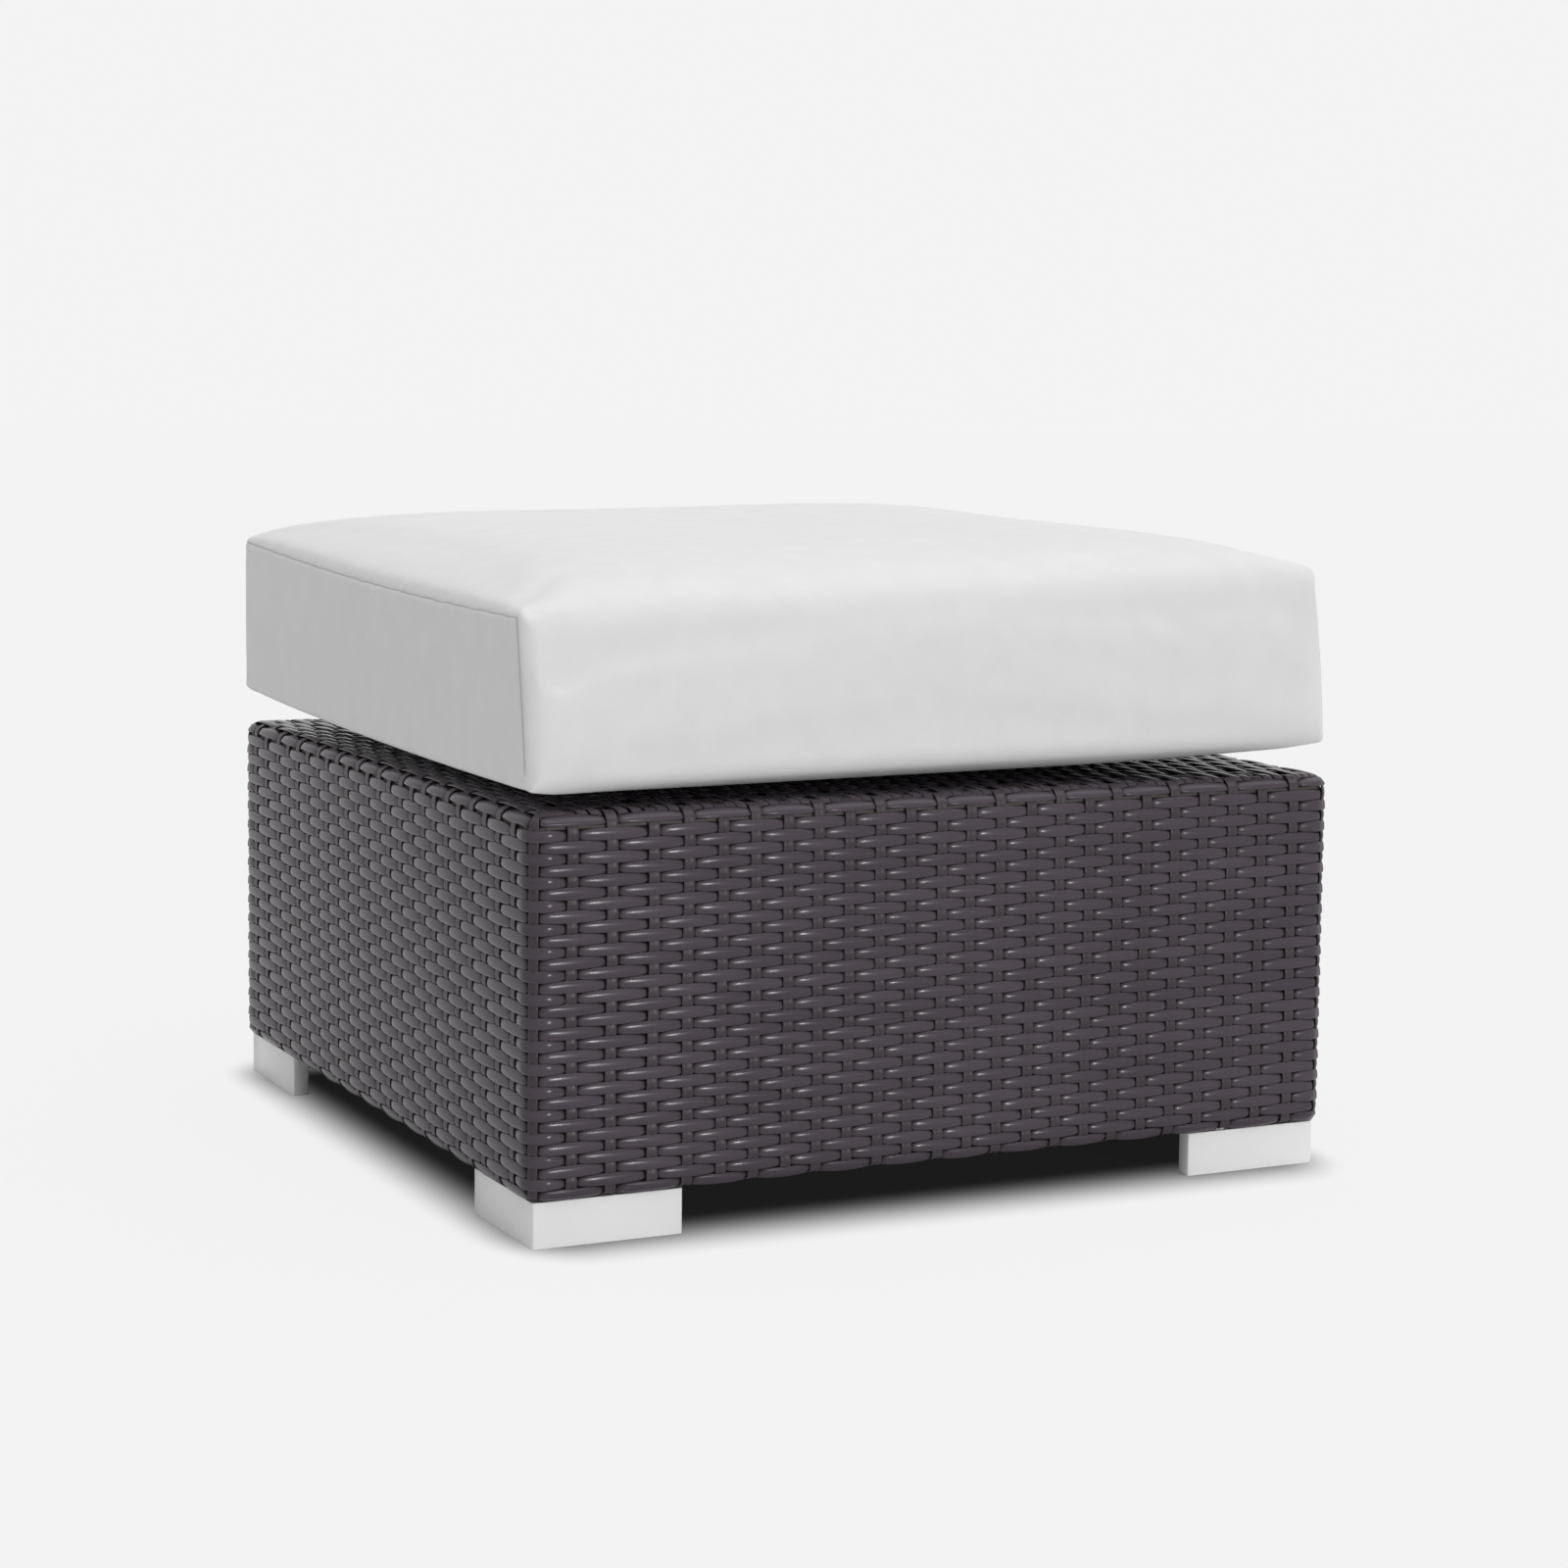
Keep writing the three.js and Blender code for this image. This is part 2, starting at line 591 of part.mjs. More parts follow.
// The slider: a plate over the chain, a wall down each side of it, and a bridge for the pull
function zipSlider() {
  const half = SLIDER_LENGTH / 2;
  const wallIn = CHAIN_WIDTH / 2 + SEAT_GAP;
  const wallOut = wallIn + SLIDER_WALL;
  const frontY = tapeBackY + SEAT_GAP;
  const roofY = chainBackY + SEAT_GAP;
  const body = block([-half, frontY, -wallOut], [half, sliderBackY, wallOut]);
  const wayEnd = half + CUT_OVERRUN;
  const way = block([-wayEnd, frontY - CUT_OVERRUN, -wallIn], [wayEnd, roofY, wallIn]);
  const bridgeInY = pullAxisY + PULL_THICKNESS / 2 + SEAT_GAP;
  const bridgeOutY = bridgeInY + BRIDGE_BAR;
  const reach = BRIDGE_LENGTH / 2;
  const bridge = block([-reach, roofY, -BRIDGE_WIDTH / 2], [reach, bridgeOutY, BRIDGE_WIDTH / 2]);
  const inner = reach - BRIDGE_BAR;
  const under = block([-inner, sliderBackY, -BRIDGE_WIDTH], [inner, bridgeInY, BRIDGE_WIDTH]);
  const slider = join(cut(body, way), cut(bridge, under));
  slider.translate(sliderStartX, 0, zipZ);
  return slider;
}

// The pull: a round-ended tab whose eye goes round the slider's bridge
function zipPull() {
  const endBar = PULL_THICKNESS / 2;
  const eyeEnd = Math.hypot(BRIDGE_LENGTH / 2, PULL_THICKNESS / 2 + SEAT_GAP + BRIDGE_BAR) + SEAT_GAP;
  const eyeHalf = BRIDGE_WIDTH / 2 + SEAT_GAP;
  const half = PULL_WIDTH / 2;
  const shape = new THREE.Shape();
  shape.moveTo(-endBar, -half);
  shape.lineTo(PULL_LENGTH - half, -half);
  shape.absarc(PULL_LENGTH - half, 0, half, -Math.PI / 2, Math.PI / 2, false);
  shape.lineTo(-endBar, half);
  shape.closePath();
  const eye = new THREE.Path();
  eye.moveTo(endBar, -eyeHalf);
  eye.lineTo(eyeEnd, -eyeHalf);
  eye.lineTo(eyeEnd, eyeHalf);
  eye.lineTo(endBar, eyeHalf);
  eye.closePath();
  shape.holes.push(eye);
  const extrusion = { depth: PULL_THICKNESS, bevelEnabled: false, curveSegments: 6 };
  const tab = new THREE.ExtrudeGeometry(shape, extrusion);
  tab.translate(0, 0, -PULL_THICKNESS / 2);
  tab.rotateX(-Math.PI / 2);
  tab.translate(sliderStartX, pullAxisY, zipZ);
  return tab;
}

const ottoman = new THREE.Group();

function place(name, geometry, material, angle = 0, position = [0, 0, 0]) {
  const mesh = new THREE.Mesh(geometry, material);
  mesh.name = name;
  mesh.rotation.z = angle;
  mesh.position.set(...position);
  ottoman.add(mesh);
}

const sides = ['front', 'right', 'back', 'left'];
const corners = ['front_left', 'front_right', 'back_right', 'back_left'];

const topRail = frontRail(topAxisZ);
const bottomRail = frontRail(bottomAxisZ, ...nutHoles());
const side = wovenSide();
sides.forEach((name, k) => {
  const angle = (k * Math.PI) / 2;
  place(`top_rail_${name}`, topRail, materials.tube, angle);
  place(`bottom_rail_${name}`, bottomRail, materials.tube, angle);
  place(`woven_side_${name}`, side, materials.wicker, angle);
});
place('woven_deck', wovenDeck(), materials.wicker);

const post = cornerPost();
const footBody = foot();
const screw = footScrew();
const nut = rivetNut();
corners.forEach((name, k) => {
  const angle = (k * Math.PI) / 2;
  const [c, s] = [Math.cos(angle), Math.sin(angle)];
  const turn = (x, y) => [x * c - y * s, x * s + y * c];
  const corner = turn(-axisOffset, -axisOffset);
  place(`corner_post_${name}`, post, materials.tube, 0, [...corner, 0]);
  place(`foot_${name}`, footBody, materials.foot, angle, [...corner, 0]);
  screwPlaces().forEach(([x, y], n) => {
    const at = turn(x - axisOffset, y - axisOffset);
    place(`foot_screw_${name}_${n + 1}`, screw, materials.steel, 0, [...at, 0]);
    place(`rivet_nut_${name}_${n + 1}`, nut, materials.steel, 0, [...at, 0]);
  });
});

for (let k = 0; k < DECK_BAR_COUNT; k += 1) {
  const spacing = (2 * axisOffset) / (DECK_BAR_COUNT + 1);
  place(`deck_bar_${k + 1}`, deckBar(-axisOffset + (k + 1) * spacing), materials.tube);
}

place('cushion_cover', cushionCover(), materials.fabric);
place('cushion_foam', cushionFoam(), materials.foam);
place('zip_tape', zipTape(), materials.zip);
place('zip_slider', zipSlider(), materials.steel);
place('zip_pull', zipPull(), materials.steel);

export default ottoman;
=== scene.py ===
"""Outdoor ottoman footstool: the visible pieces and their finishes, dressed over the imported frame.

Everything is in metres, in the frame's own axes: +Z up, the front faces -Y, the origin on the floor under the
box.
"""

import logging
import math
from collections.abc import Mapping
from dataclasses import dataclass, field
from enum import Enum

import bmesh
import bpy
import numpy as np
from mathutils import Matrix, Vector


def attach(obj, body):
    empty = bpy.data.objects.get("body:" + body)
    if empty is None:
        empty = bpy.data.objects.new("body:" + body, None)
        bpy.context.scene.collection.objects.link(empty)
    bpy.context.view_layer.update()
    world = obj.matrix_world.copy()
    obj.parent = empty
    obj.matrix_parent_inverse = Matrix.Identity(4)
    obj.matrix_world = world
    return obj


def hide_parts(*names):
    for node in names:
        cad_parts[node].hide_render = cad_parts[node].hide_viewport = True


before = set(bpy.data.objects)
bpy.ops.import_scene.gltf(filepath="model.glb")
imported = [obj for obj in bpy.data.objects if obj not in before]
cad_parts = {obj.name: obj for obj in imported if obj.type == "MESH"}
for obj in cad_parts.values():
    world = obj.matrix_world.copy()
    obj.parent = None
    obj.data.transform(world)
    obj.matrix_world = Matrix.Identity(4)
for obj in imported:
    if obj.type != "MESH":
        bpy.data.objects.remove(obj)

LOG = logging.getLogger("ottoman")
Array = np.ndarray
Colour = tuple[float, float, float, float]
Socket = bpy.types.NodeSocket
SEED = 7
# From this share of a unit box's half width, a point counts as lying on its face
ON_FACE = 1 - 1e-6
# Points of the CAD's loose triangles that are closer than this are one, and faces that bend less are one
SAME_POINT = 1e-6
FLAT_DEGREES = 1.0


# Colour, nodes and meshes


def srgb(hex_colour: str, kept: float = 1.0) -> Colour:
    """Turns an sRGB hex colour to linear light.

    A channel c of 0 to 1 is c / 12.92 below 0.04045, and ((c + 0.055) / 1.055) to the power 2.4 above.

    Args:
        hex_colour: Six hex digits after a hash sign.
        kept: The share of its light that is kept.

    Returns:
        Red, green, blue and an alpha of 1.
    """
    channels = (int(hex_colour[k : k + 2], 16) / 255 for k in (1, 3, 5))
    red, green, blue = (c / 12.92 if c < 0.04045 else ((c + 0.055) / 1.055) ** 2.4 for c in channels)
    return (kept * red, kept * green, kept * blue, 1.0)


class Nodes:
    """The node tree of a material or of the world while it is built.

    Its methods add nodes, and all but close return the output socket that is wanted.
    """

    def __init__(self, owner: bpy.types.Material | bpy.types.World) -> None:
        """Empties the owner's tree.

        Args:
            owner: The material or the world.
        """
        owner.use_nodes = True
        self.tree = owner.node_tree
        self.tree.nodes.clear()

    def add(self, kind: str, inputs: Mapping[str | int, object], out: str | int = 0) -> Socket:
        """Adds a node, sets its properties, and sets or links its inputs.

        Args:
            kind: The node's type name without its prefix.
            inputs: Property names in lower case, and input names or numbers, each with its value or with
                the socket that feeds it.
            out: The output that is wanted.

        Returns:
            That output.
        """
        node = self.tree.nodes.new(f"ShaderNode{kind}")
        for key, value in inputs.items():
            if isinstance(value, bpy.types.NodeSocket):
                self.tree.links.new(value, node.inputs[key])
            elif isinstance(key, str) and key.islower():
                setattr(node, key, value)
            else:
                node.inputs[key].default_value = value
        return node.outputs[out]

    def close(self, kind: str, shader: Socket) -> None:
        """Links a shader to the surface of a Material or World output."""
        end = self.tree.nodes.new(f"ShaderNodeOutput{kind}")
        self.tree.links.new(shader, end.inputs["Surface"])

    def object_places(self) -> Socket:
        """The object's own coordinates."""
        return self.add("TexCoord", {}, "Object")

    def surface_places(self) -> Socket:
        """The piece's own map, in metres."""
        return self.add("UVMap", {"uv_map": "surface"})

    def mark(self, name: str) -> Socket:
        """The named value that each point carries."""
        return self.add("Attribute", {"attribute_name": name}, "Fac")

    def maths(self, operation: str, *values: Socket | float) -> Socket:
        """One step of arithmetic on its values."""
        return self.add("Math", {"operation": operation, **dict(enumerate(values))})

    def noise(self, at: Socket, scale: float, detail: float = 2.0) -> Socket:
        """Soft noise of so many patches to a unit."""
        return self.add("TexNoise", {"Scale": scale, "Detail": detail, "Vector": at})

    def blend(self, share: Socket, first: Socket | Colour, second: Socket | Colour) -> Socket:
        """A colour between two others."""
        return self.add("Mix", {"data_type": "RGBA", 0: share, 6: first, 7: second}, 2)

    def spread(self, value: Socket, low: float, high: float) -> Socket:
        """A value of 0 to 1, spread from a low to a high one."""
        return self.add("MapRange", {"To Min": low, "To Max": high, "Value": value})

    def share(self, value: Socket, low: float, high: float) -> Socket:
        """Where a value lies between a low and a high one, from 0 to 1."""
        return self.add("MapRange", {"From Min": low, "From Max": high, "Value": value})

    def bump(self, height: Socket, strength: float, distance: float, over: Socket | None = None) -> Socket:
        """A normal that follows a height, over another normal where one is given."""
        inputs = {"Strength": strength, "Distance": distance, "Height": height}
        return self.add("Bump", inputs if over is None else {**inputs, "Normal": over})


def smooth_step(value: Array) -> Array:
    """The curve 3t^2 - 2t^3 of a value held between 0 and 1."""
    t = np.clip(value, 0.0, 1.0)
    return t * t * (3.0 - 2.0 * t)


def to_even(value: Array) -> Array:
    """How far each value lies from the nearest even number."""
    part = np.mod(value, 2.0)
    return np.minimum(part, 2.0 - part)


def point_grid(x: Array, y: Array, z: Array) -> Array:
    """Points by strand, step and section point, from coordinates that broadcast to that."""
    return np.stack(np.broadcast_arrays(x, y, z), axis=-1)


def turned(points: Array, angle: float) -> Array:
    """Points turned about Z: x cos - y sin, x sin + y cos.

    Args:
        points: Any array whose last axis is x, y, z.
        angle: The turn in radians.

    Returns:
        The turned points.
    """
    c, s = round(math.cos(angle), 12), round(math.sin(angle), 12)
    x, y, z = points[..., 0], points[..., 1], points[..., 2]
    return np.stack([x * c - y * s, x * s + y * c, z], axis=-1)


def signed_volume(points: Array, quads: Array) -> float:
    """The volume that quads enclose: a sixth of the sum of a . (b x c) over their triangles."""
    a, b, c, d = (points[quads[:, k]] for k in range(4))
    first = np.einsum("ij,ij->i", a, np.cross(b, c)).sum()
    second = np.einsum("ij,ij->i", a, np.cross(c, d)).sum()
    return float(first + second) / 6.0


def quad_object(
    name: str,
    points: Array,
    quads: Array,
    material: bpy.types.Material,
    uv: Array | None = None,
    marks: Mapping[str, Array] | None = None,
    smooth: bool = True,
) -> bpy.types.Object:
    """Puts points and quads into a mesh object at the origin, with its faces outwards.

    Args:
        name: The piece's name.
        points: Vertices, one row each.
        quads: Four vertex numbers a row.
        material: The piece's finish.
        uv: One pair per vertex, or one per face corner.
        marks: Named values, one per vertex.
        smooth: Whether the faces shade smoothly.

    Returns:
        The linked object.
    """
    if signed_volume(points, quads) < 0:
        quads = quads[:, ::-1]
        uv = uv if uv is None or len(uv) == len(points) else uv.reshape(-1, 4, 2)[:, ::-1].reshape(-1, 2)
    mesh = bpy.data.meshes.new(name)
    mesh.vertices.add(len(points))
    mesh.vertices.foreach_set("co", points.astype(np.float32).ravel())
    mesh.loops.add(quads.size)
    mesh.loops.foreach_set("vertex_index", quads.astype(np.int32).ravel())
    mesh.polygons.add(len(quads))
    mesh.polygons.foreach_set("loop_start", np.arange(0, quads.size, 4, dtype=np.int32))
    mesh.polygons.foreach_set("use_smooth", np.full(len(quads), smooth))
    mesh.update(calc_edges=True)
    if uv is not None:
        corner_uv = uv[quads.ravel()] if len(uv) == len(points) else uv
        layer = mesh.uv_layers.new(name="surface")
        layer.data.foreach_set("uv", corner_uv.astype(np.float32).ravel())
    for label, values in (marks or {}).items():
        mark = mesh.attributes.new(label, "FLOAT", "POINT")
        mark.data.foreach_set("value", values.astype(np.float32).ravel())
    mesh.materials.append(material)
    piece = bpy.data.objects.new(name, mesh)
    bpy.context.scene.collection.objects.link(piece)
    return piece


def settle(piece: bpy.types.Object, body: str, slot: str, *nodes: str) -> None:
    """Makes a piece ride on a body and stand for the CAD nodes it replaces.

    Args:
        piece: The finished piece.
        body: The body's name.
        slot: The record's material slot; not used.
        *nodes: The CAD nodes that the piece stands for.
    """
    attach(piece, body)
    if nodes:
        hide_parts(*nodes)
    LOG.info("%s: %d faces on %s", piece.name, len(piece.data.polygons), body)


def merged_copy(
    node: str, name: str, material: bpy.types.Material, crease_degrees: float
) -> bpy.types.Object:
    """Copies a CAD node's mesh, merges its loose triangles and shades it smooth between its creases.

    Args:
        node: The CAD node.
        name: The new piece's name.
        material: The piece's finish.
        crease_degrees: Edges that bend more than this stay sharp.

    Returns:
        The linked copy.
    """
    body = bmesh.new()
    body.from_mesh(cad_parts[node].data)
    bmesh.ops.remove_doubles(body, verts=body.verts, dist=SAME_POINT)
    flat = math.radians(FLAT_DEGREES)
    bmesh.ops.dissolve_limit(body, angle_limit=flat, verts=body.verts, edges=body.edges)
    for face in body.faces:
        face.smooth = True
    for edge in body.edges:
        edge.smooth = edge.is_manifold and edge.calc_face_angle(0.0) < math.radians(crease_degrees)
    mesh = bpy.data.meshes.new(name)
    body.to_mesh(mesh)
    body.free()
    mesh.materials.clear()
    mesh.materials.append(material)
    piece = bpy.data.objects.new(name, mesh)
    bpy.context.scene.collection.objects.link(piece)
    return piece


def ease_edges(piece: bpy.types.Object, width: float, from_degrees: float, harden: bool = False) -> None:
    """Bevels a piece's sharp edges.

    Args:
        piece: The piece.
        width: The bevel's width.
        from_degrees: Edges that bend more than this are eased.
        harden: Whether the flat faces keep their own shading up to the bevel.
    """
    eased = piece.modifiers.new("eased_edges", "BEVEL")
    eased.width, eased.segments, eased.limit_method = width, 2, "ANGLE"
    eased.angle_limit = math.radians(from_degrees)
    eased.harden_normals = harden


# Finishes


@dataclass(frozen=True)
class Finish:
    """What a piece's surface is made of."""

    name: str

    def material(self) -> bpy.types.Material:
        """Makes the finish's material."""
        material = bpy.data.materials.new(self.name)
        nodes = Nodes(material)
        nodes.close("Material", nodes.add("BsdfPrincipled", self.inputs(nodes)))
        return material

    def inputs(self, nodes: Nodes) -> dict[str, object]:
        """Adds what feeds the surface shader.

        Args:
            nodes: The material's tree.

        Returns:
            The shader's input names with their values or sockets.
        """
        raise NotImplementedError


@dataclass(frozen=True)
class ResinStrand(Finish):
    """Polyethylene rattan strand, extruded flat: satin, with the die's fine lines along it and a soft sheen.

    The lines are 0.5 mm apart on the real strand and drawn 0.9 mm apart, so that they show.
    """

    dark: str
    light: str
    # Painted shade: the colour that a strand darkens to where it lies deep
    painted_shade: str = "#100D0E"
    roughness: float = 0.18
    hollow_roughness: float = 0.95
    line_spacing: float = 0.0009
    line_length: float = 0.030
    line_height: float = 0.000014
    clouds_per_metre: float = 9.0

    def inputs(self, nodes: Nodes) -> dict[str, object]:
        """Follows the strand's own length and width, its tone and how deep it lies."""
        lines = (1 / self.line_length, 1 / self.line_spacing, 1.0)
        drawn = nodes.add("Mapping", {"Scale": lines, "Vector": nodes.surface_places()})
        streak = nodes.add(
            "TexNoise",
            {"noise_dimensions": "2D", "Scale": 1.0, "Detail": 2.0, "Roughness": 0.6, "Vector": drawn},
        )
        cloud = nodes.noise(nodes.object_places(), self.clouds_per_metre, 3.0)
        tone = nodes.maths("ADD", nodes.maths("ADD", nodes.mark("tone"), streak), cloud)
        colour = nodes.blend(nodes.share(tone, 0.7, 2.3), srgb(self.dark), srgb(self.light))
        # Painted shade darkens what lies deep between the strands, and the roughness rises there
        sunk = nodes.mark("sunk")
        rough = nodes.spread(streak, self.roughness - 0.03, self.roughness + 0.05)
        dusty = nodes.add("Mix", {"data_type": "FLOAT", 0: sunk, 2: rough, 3: self.hollow_roughness})
        return {
            "Base Color": nodes.blend(sunk, colour, srgb(self.painted_shade)),
            "Roughness": dusty,
            "Normal": nodes.bump(streak, 0.7, self.line_height),
            "IOR": 1.51,
            "Specular IOR Level": 0.16,
        }


@dataclass(frozen=True)
class SatinMoulding(Finish):
    """Injection-moulded plastic with a fine spark-eroded grain: satin, with faint clouds in its gloss."""

    colour: str
    roughness: float = 0.26
    grain: float = 0.0008
    grain_height: float = 0.000012
    clouds_per_metre: float = 14.0

    def inputs(self, nodes: Nodes) -> dict[str, object]:
        """Follows the piece's own coordinates."""
        places = nodes.object_places()
        cloud = nodes.noise(places, self.clouds_per_metre)
        return {
            "Base Color": nodes.blend(cloud, srgb(self.colour, 0.98), srgb(self.colour)),
            "Roughness": nodes.spread(cloud, self.roughness - 0.02, self.roughness + 0.03),
            "Normal": nodes.bump(nodes.noise(places, 1 / self.grain), 0.5, self.grain_height),
            "IOR": 1.49,
            "Specular IOR Level": 0.9,
        }


@dataclass(frozen=True)
class PowderCoat(Finish):
    """Polyester powder coat on aluminium tube: matt, with the slight orange peel that baked powder has."""

    colour: str
    peel: float = 0.0022
    peel_height: float = 0.00005
    roughness: tuple[float, float] = (0.46, 0.6)

    def inputs(self, nodes: Nodes) -> dict[str, object]:
        """Follows the piece's own coordinates."""
        peel = nodes.noise(nodes.object_places(), 1 / self.peel, 1.0)
        return {
            "Base Color": srgb(self.colour),
            "Roughness": nodes.spread(peel, *self.roughness),
            "Normal": nodes.bump(peel, 0.4, self.peel_height),
            "IOR": 1.5,
        }


@dataclass(frozen=True)
class PlatedMetal(Finish):
    """Barrel-plated steel or zinc: a bright metal with small dull patches where the parts rubbed together."""

    colour: str
    roughness: float = 0.3
    patches_per_metre: float = 420.0
    patch_height: float = 0.00002

    def inputs(self, nodes: Nodes) -> dict[str, object]:
        """Follows the piece's own coordinates."""
        patches = nodes.noise(nodes.object_places(), self.patches_per_metre, 3.0)
        return {
            "Base Color": srgb(self.colour),
            "Metallic": 1.0,
            "Roughness": nodes.spread(patches, self.roughness - 0.08, self.roughness + 0.14),
            "Normal": nodes.bump(patches, 0.3, self.patch_height),
        }


@dataclass(frozen=True)
class WovenCloth(Finish):
    """Solution-dyed plain-weave canvas or tape: dull, with the threads' crossings and a little fuzz.

    The real canvas has threads about 0.5 mm apart, and they are drawn at thread_spacing so that they show.
    """

    colour: str
    thread_spacing: float = 0.0011
    thread_height: float = 0.00008
    slubs_per_metre: float = 38.0
    # Painted shade: the grey that a seam's crease darkens to
    crease: str = "#A5A4A2"
    crease_power: float = 3.5
    gather_spacing: float = 0.013
    gather_height: float = 0.0014
    gathers_per_metre: float = 14.0
    sheen: float = 0.15

    def inputs(self, nodes: Nodes) -> dict[str, object]:
        """Lays the threads along the panel's own map, and creases and gathers by the marks of its seams."""
        # A band wave repeats every 2 pi / (20 x scale)
        scale = 2 * math.pi / (20 * self.thread_spacing)
        wave = {"Scale": scale, "Distortion": 0.35, "Detail": 1.0, "Detail Scale": 0.2}
        surface, places = nodes.surface_places(), nodes.object_places()
        ways = [{"bands_direction": way, "Vector": surface, **wave} for way in ("X", "Y")]
        crossing = nodes.maths("MULTIPLY", *(nodes.add("TexWave", way, "Fac") for way in ways))
        shade = nodes.maths("ADD", crossing, nodes.noise(places, self.slubs_per_metre, 4.0))
        colour = nodes.blend(nodes.share(shade, 0.2, 1.3), srgb(self.colour, 0.9), srgb(self.colour))
        # Painted shade darkens the seam's crease, and gathers run across it from both sides
        crease = nodes.maths("POWER", nodes.mark("seam"), self.crease_power)
        narrow = (self.gathers_per_metre, 1 / self.gather_spacing, 1 / self.gather_spacing)
        folds = nodes.noise(nodes.add("Mapping", {"Scale": narrow, "Vector": places}), 1.0, 1.5)
        pucker = nodes.bump(nodes.maths("MULTIPLY", folds, nodes.mark("gather")), 1.0, self.gather_height)
        return {
            "Base Color": nodes.blend(crease, colour, srgb(self.crease)),
            "Roughness": 0.86,
            "Normal": nodes.bump(crossing, 0.5, self.thread_height, pucker),
            "IOR": 1.45,
            "Sheen Weight": self.sheen,
            "Sheen Roughness": 0.5,
        }


@dataclass(frozen=True)
class FoamCells(Finish):
    """Open-cell polyurethane foam, cut from a block: matt cream with small open cells."""

    colour: str
    cell: float = 0.0012
    cell_depth: float = 0.0003

    def inputs(self, nodes: Nodes) -> dict[str, object]:
        """Follows the piece's own coordinates."""
        places = nodes.object_places()
        cells = nodes.add("TexVoronoi", {"Scale": 1 / self.cell, "Vector": places}, "Distance")
        return {
            "Base Color": srgb(self.colour),
            "Roughness": 0.95,
            "Normal": nodes.bump(cells, 0.8, self.cell_depth),
            "IOR": 1.4,
        }


# The woven shell


class Side(Enum):
    """The four woven sides, in the order that the strands run round the box."""

    FRONT = 0
    RIGHT = 1
    BACK = 2
    LEFT = 3

    @property
    def label(self) -> str:
        """The side's name in piece and node names."""
        return self.name.lower()

    @property
    def angle(self) -> float:
        """The turn about Z from the front to this side."""
        return self.value * math.pi / 2


@dataclass(frozen=True)
class StrandSection:
    """A strand's section: places across it from -1 to 1, and depths from its outer face from 0 to 1."""

    across: tuple[float, ...]
    depth: tuple[float, ...]

    @property
    def arrays(self) -> tuple[Array, Array]:
        """Both lists as arrays."""
        return np.array(self.across), np.array(self.depth)


# A weaver's outer face is a low arch: places across its lens from edge to edge
ARCH = np.array([-1.0, -0.85, -0.5, 0.5, 0.85, 1.0])
# The flange lies deep, so that painted shade darkens it
# Its back is a flange as wide as the row: places across it, and which of them stand a lip's height forward
FLANGE = np.array([1.0, 1.0, 0.0, -1.0, -1.0])
FLANGE_LIP = np.array([1.0, 0.0, 0.0, 0.0, 1.0])
# A stake is flat with a groove down its middle
STAKE_SECTION = StrandSection(
    across=(-1.0, -0.9, -0.5, 0.0, 0.5, 0.9, 1.0, 0.85, 0.0, -0.85),
    depth=(0.5, 0.12, 0.0, 0.38, 0.0, 0.12, 0.5, 1.0, 1.0, 1.0),
)
# The deck's strands show little, so theirs has fewer points
DECK_SECTION = StrandSection(
    across=(-1.0, -0.75, 0.0, 0.75, 1.0, 0.8, 0.0, -0.8),
    depth=(0.6, 0.12, 0.0, 0.12, 0.6, 1.0, 1.0, 1.0),
)


@dataclass
class StrandBatch:
    """Closed strands that are put into one mesh."""

    points: list[Array] = field(default_factory=list)
    quads: list[Array] = field(default_factory=list)
    uv: list[Array] = field(default_factory=list)
    tone: list[Array] = field(default_factory=list)
    # How much painted shade darkens each point, from how deep it lies
    sunk: list[Array] = field(default_factory=list)
    count: int = 0
    # How far the maps of neighbouring strands stand apart, so that no two look alike
    map_step: float = 0.0137
    # The depth from which a strand's painted shade sets in, and over how much more it gets fully dark
    painted_shade_from: float = 0.0011
    painted_shade_over: float = 0.0012

    def add(
        self, grid: Array, along: Array, across: Array, tones: Array | float, depth: Array | float
    ) -> None:
        """Adds strands of one length: a ring of section points at each step, joined by quads, and end caps.

        Args:
            grid: Points by strand, step and section point.
            along: How far along its strand each point lies, in a shape that broadcasts to the grid's points.
            across: How far across its strand each point lies, likewise.
            tones: One value per strand that shifts its colour, or one for all.
            depth: How deep each point lies under the form, in a shape that broadcasts to the points too.
        """
        strands, steps, ring, _ = grid.shape
        ids = np.arange(strands * steps * ring).reshape(strands, steps, ring) + self.count
        nxt = np.roll(ids, -1, axis=2)
        walls = np.stack([ids[:, :-1], nxt[:, :-1], nxt[:, 1:], ids[:, 1:]], axis=-1).reshape(-1, 4)
        low = np.arange(ring // 2 - 1)
        pair = np.stack([low, low + 1, ring - 2 - low, ring - 1 - low], axis=-1)
        first = ids[:, 0][:, pair][..., ::-1].reshape(-1, 4)
        last = ids[:, -1][:, pair].reshape(-1, 4)
        self.points.append(grid.reshape(-1, 3))
        self.quads.append(np.concatenate([walls, first, last]))
        own = np.arange(strands)[:, None, None] * self.map_step
        maps = [np.broadcast_to(place, ids.shape) for place in (along + 3 * own, across + own)]
        self.uv.append(np.stack(maps, axis=-1).reshape(-1, 2))
        self.tone.append(np.broadcast_to(np.reshape(tones, (-1, 1, 1)), ids.shape).ravel())
        # Painted shade: the deeper a point lies, the darker the strand's finish draws it
        deep = np.broadcast_to(depth, ids.shape).ravel()
        self.sunk.append(smooth_step((deep - self.painted_shade_from) / self.painted_shade_over))
        self.count += strands * steps * ring

    def build(self, name: str, material: bpy.types.Material) -> bpy.types.Object:
        """Makes one piece of all the strands.

        Args:
            name: The piece's name.
            material: The strands' finish.

        Returns:
            The piece.
        """
        return quad_object(
            name,
            np.concatenate(self.points),
            np.concatenate(self.quads),
            material,
            np.concatenate(self.uv),
            {"tone": np.concatenate(self.tone), "sunk": np.concatenate(self.sunk)},
        )


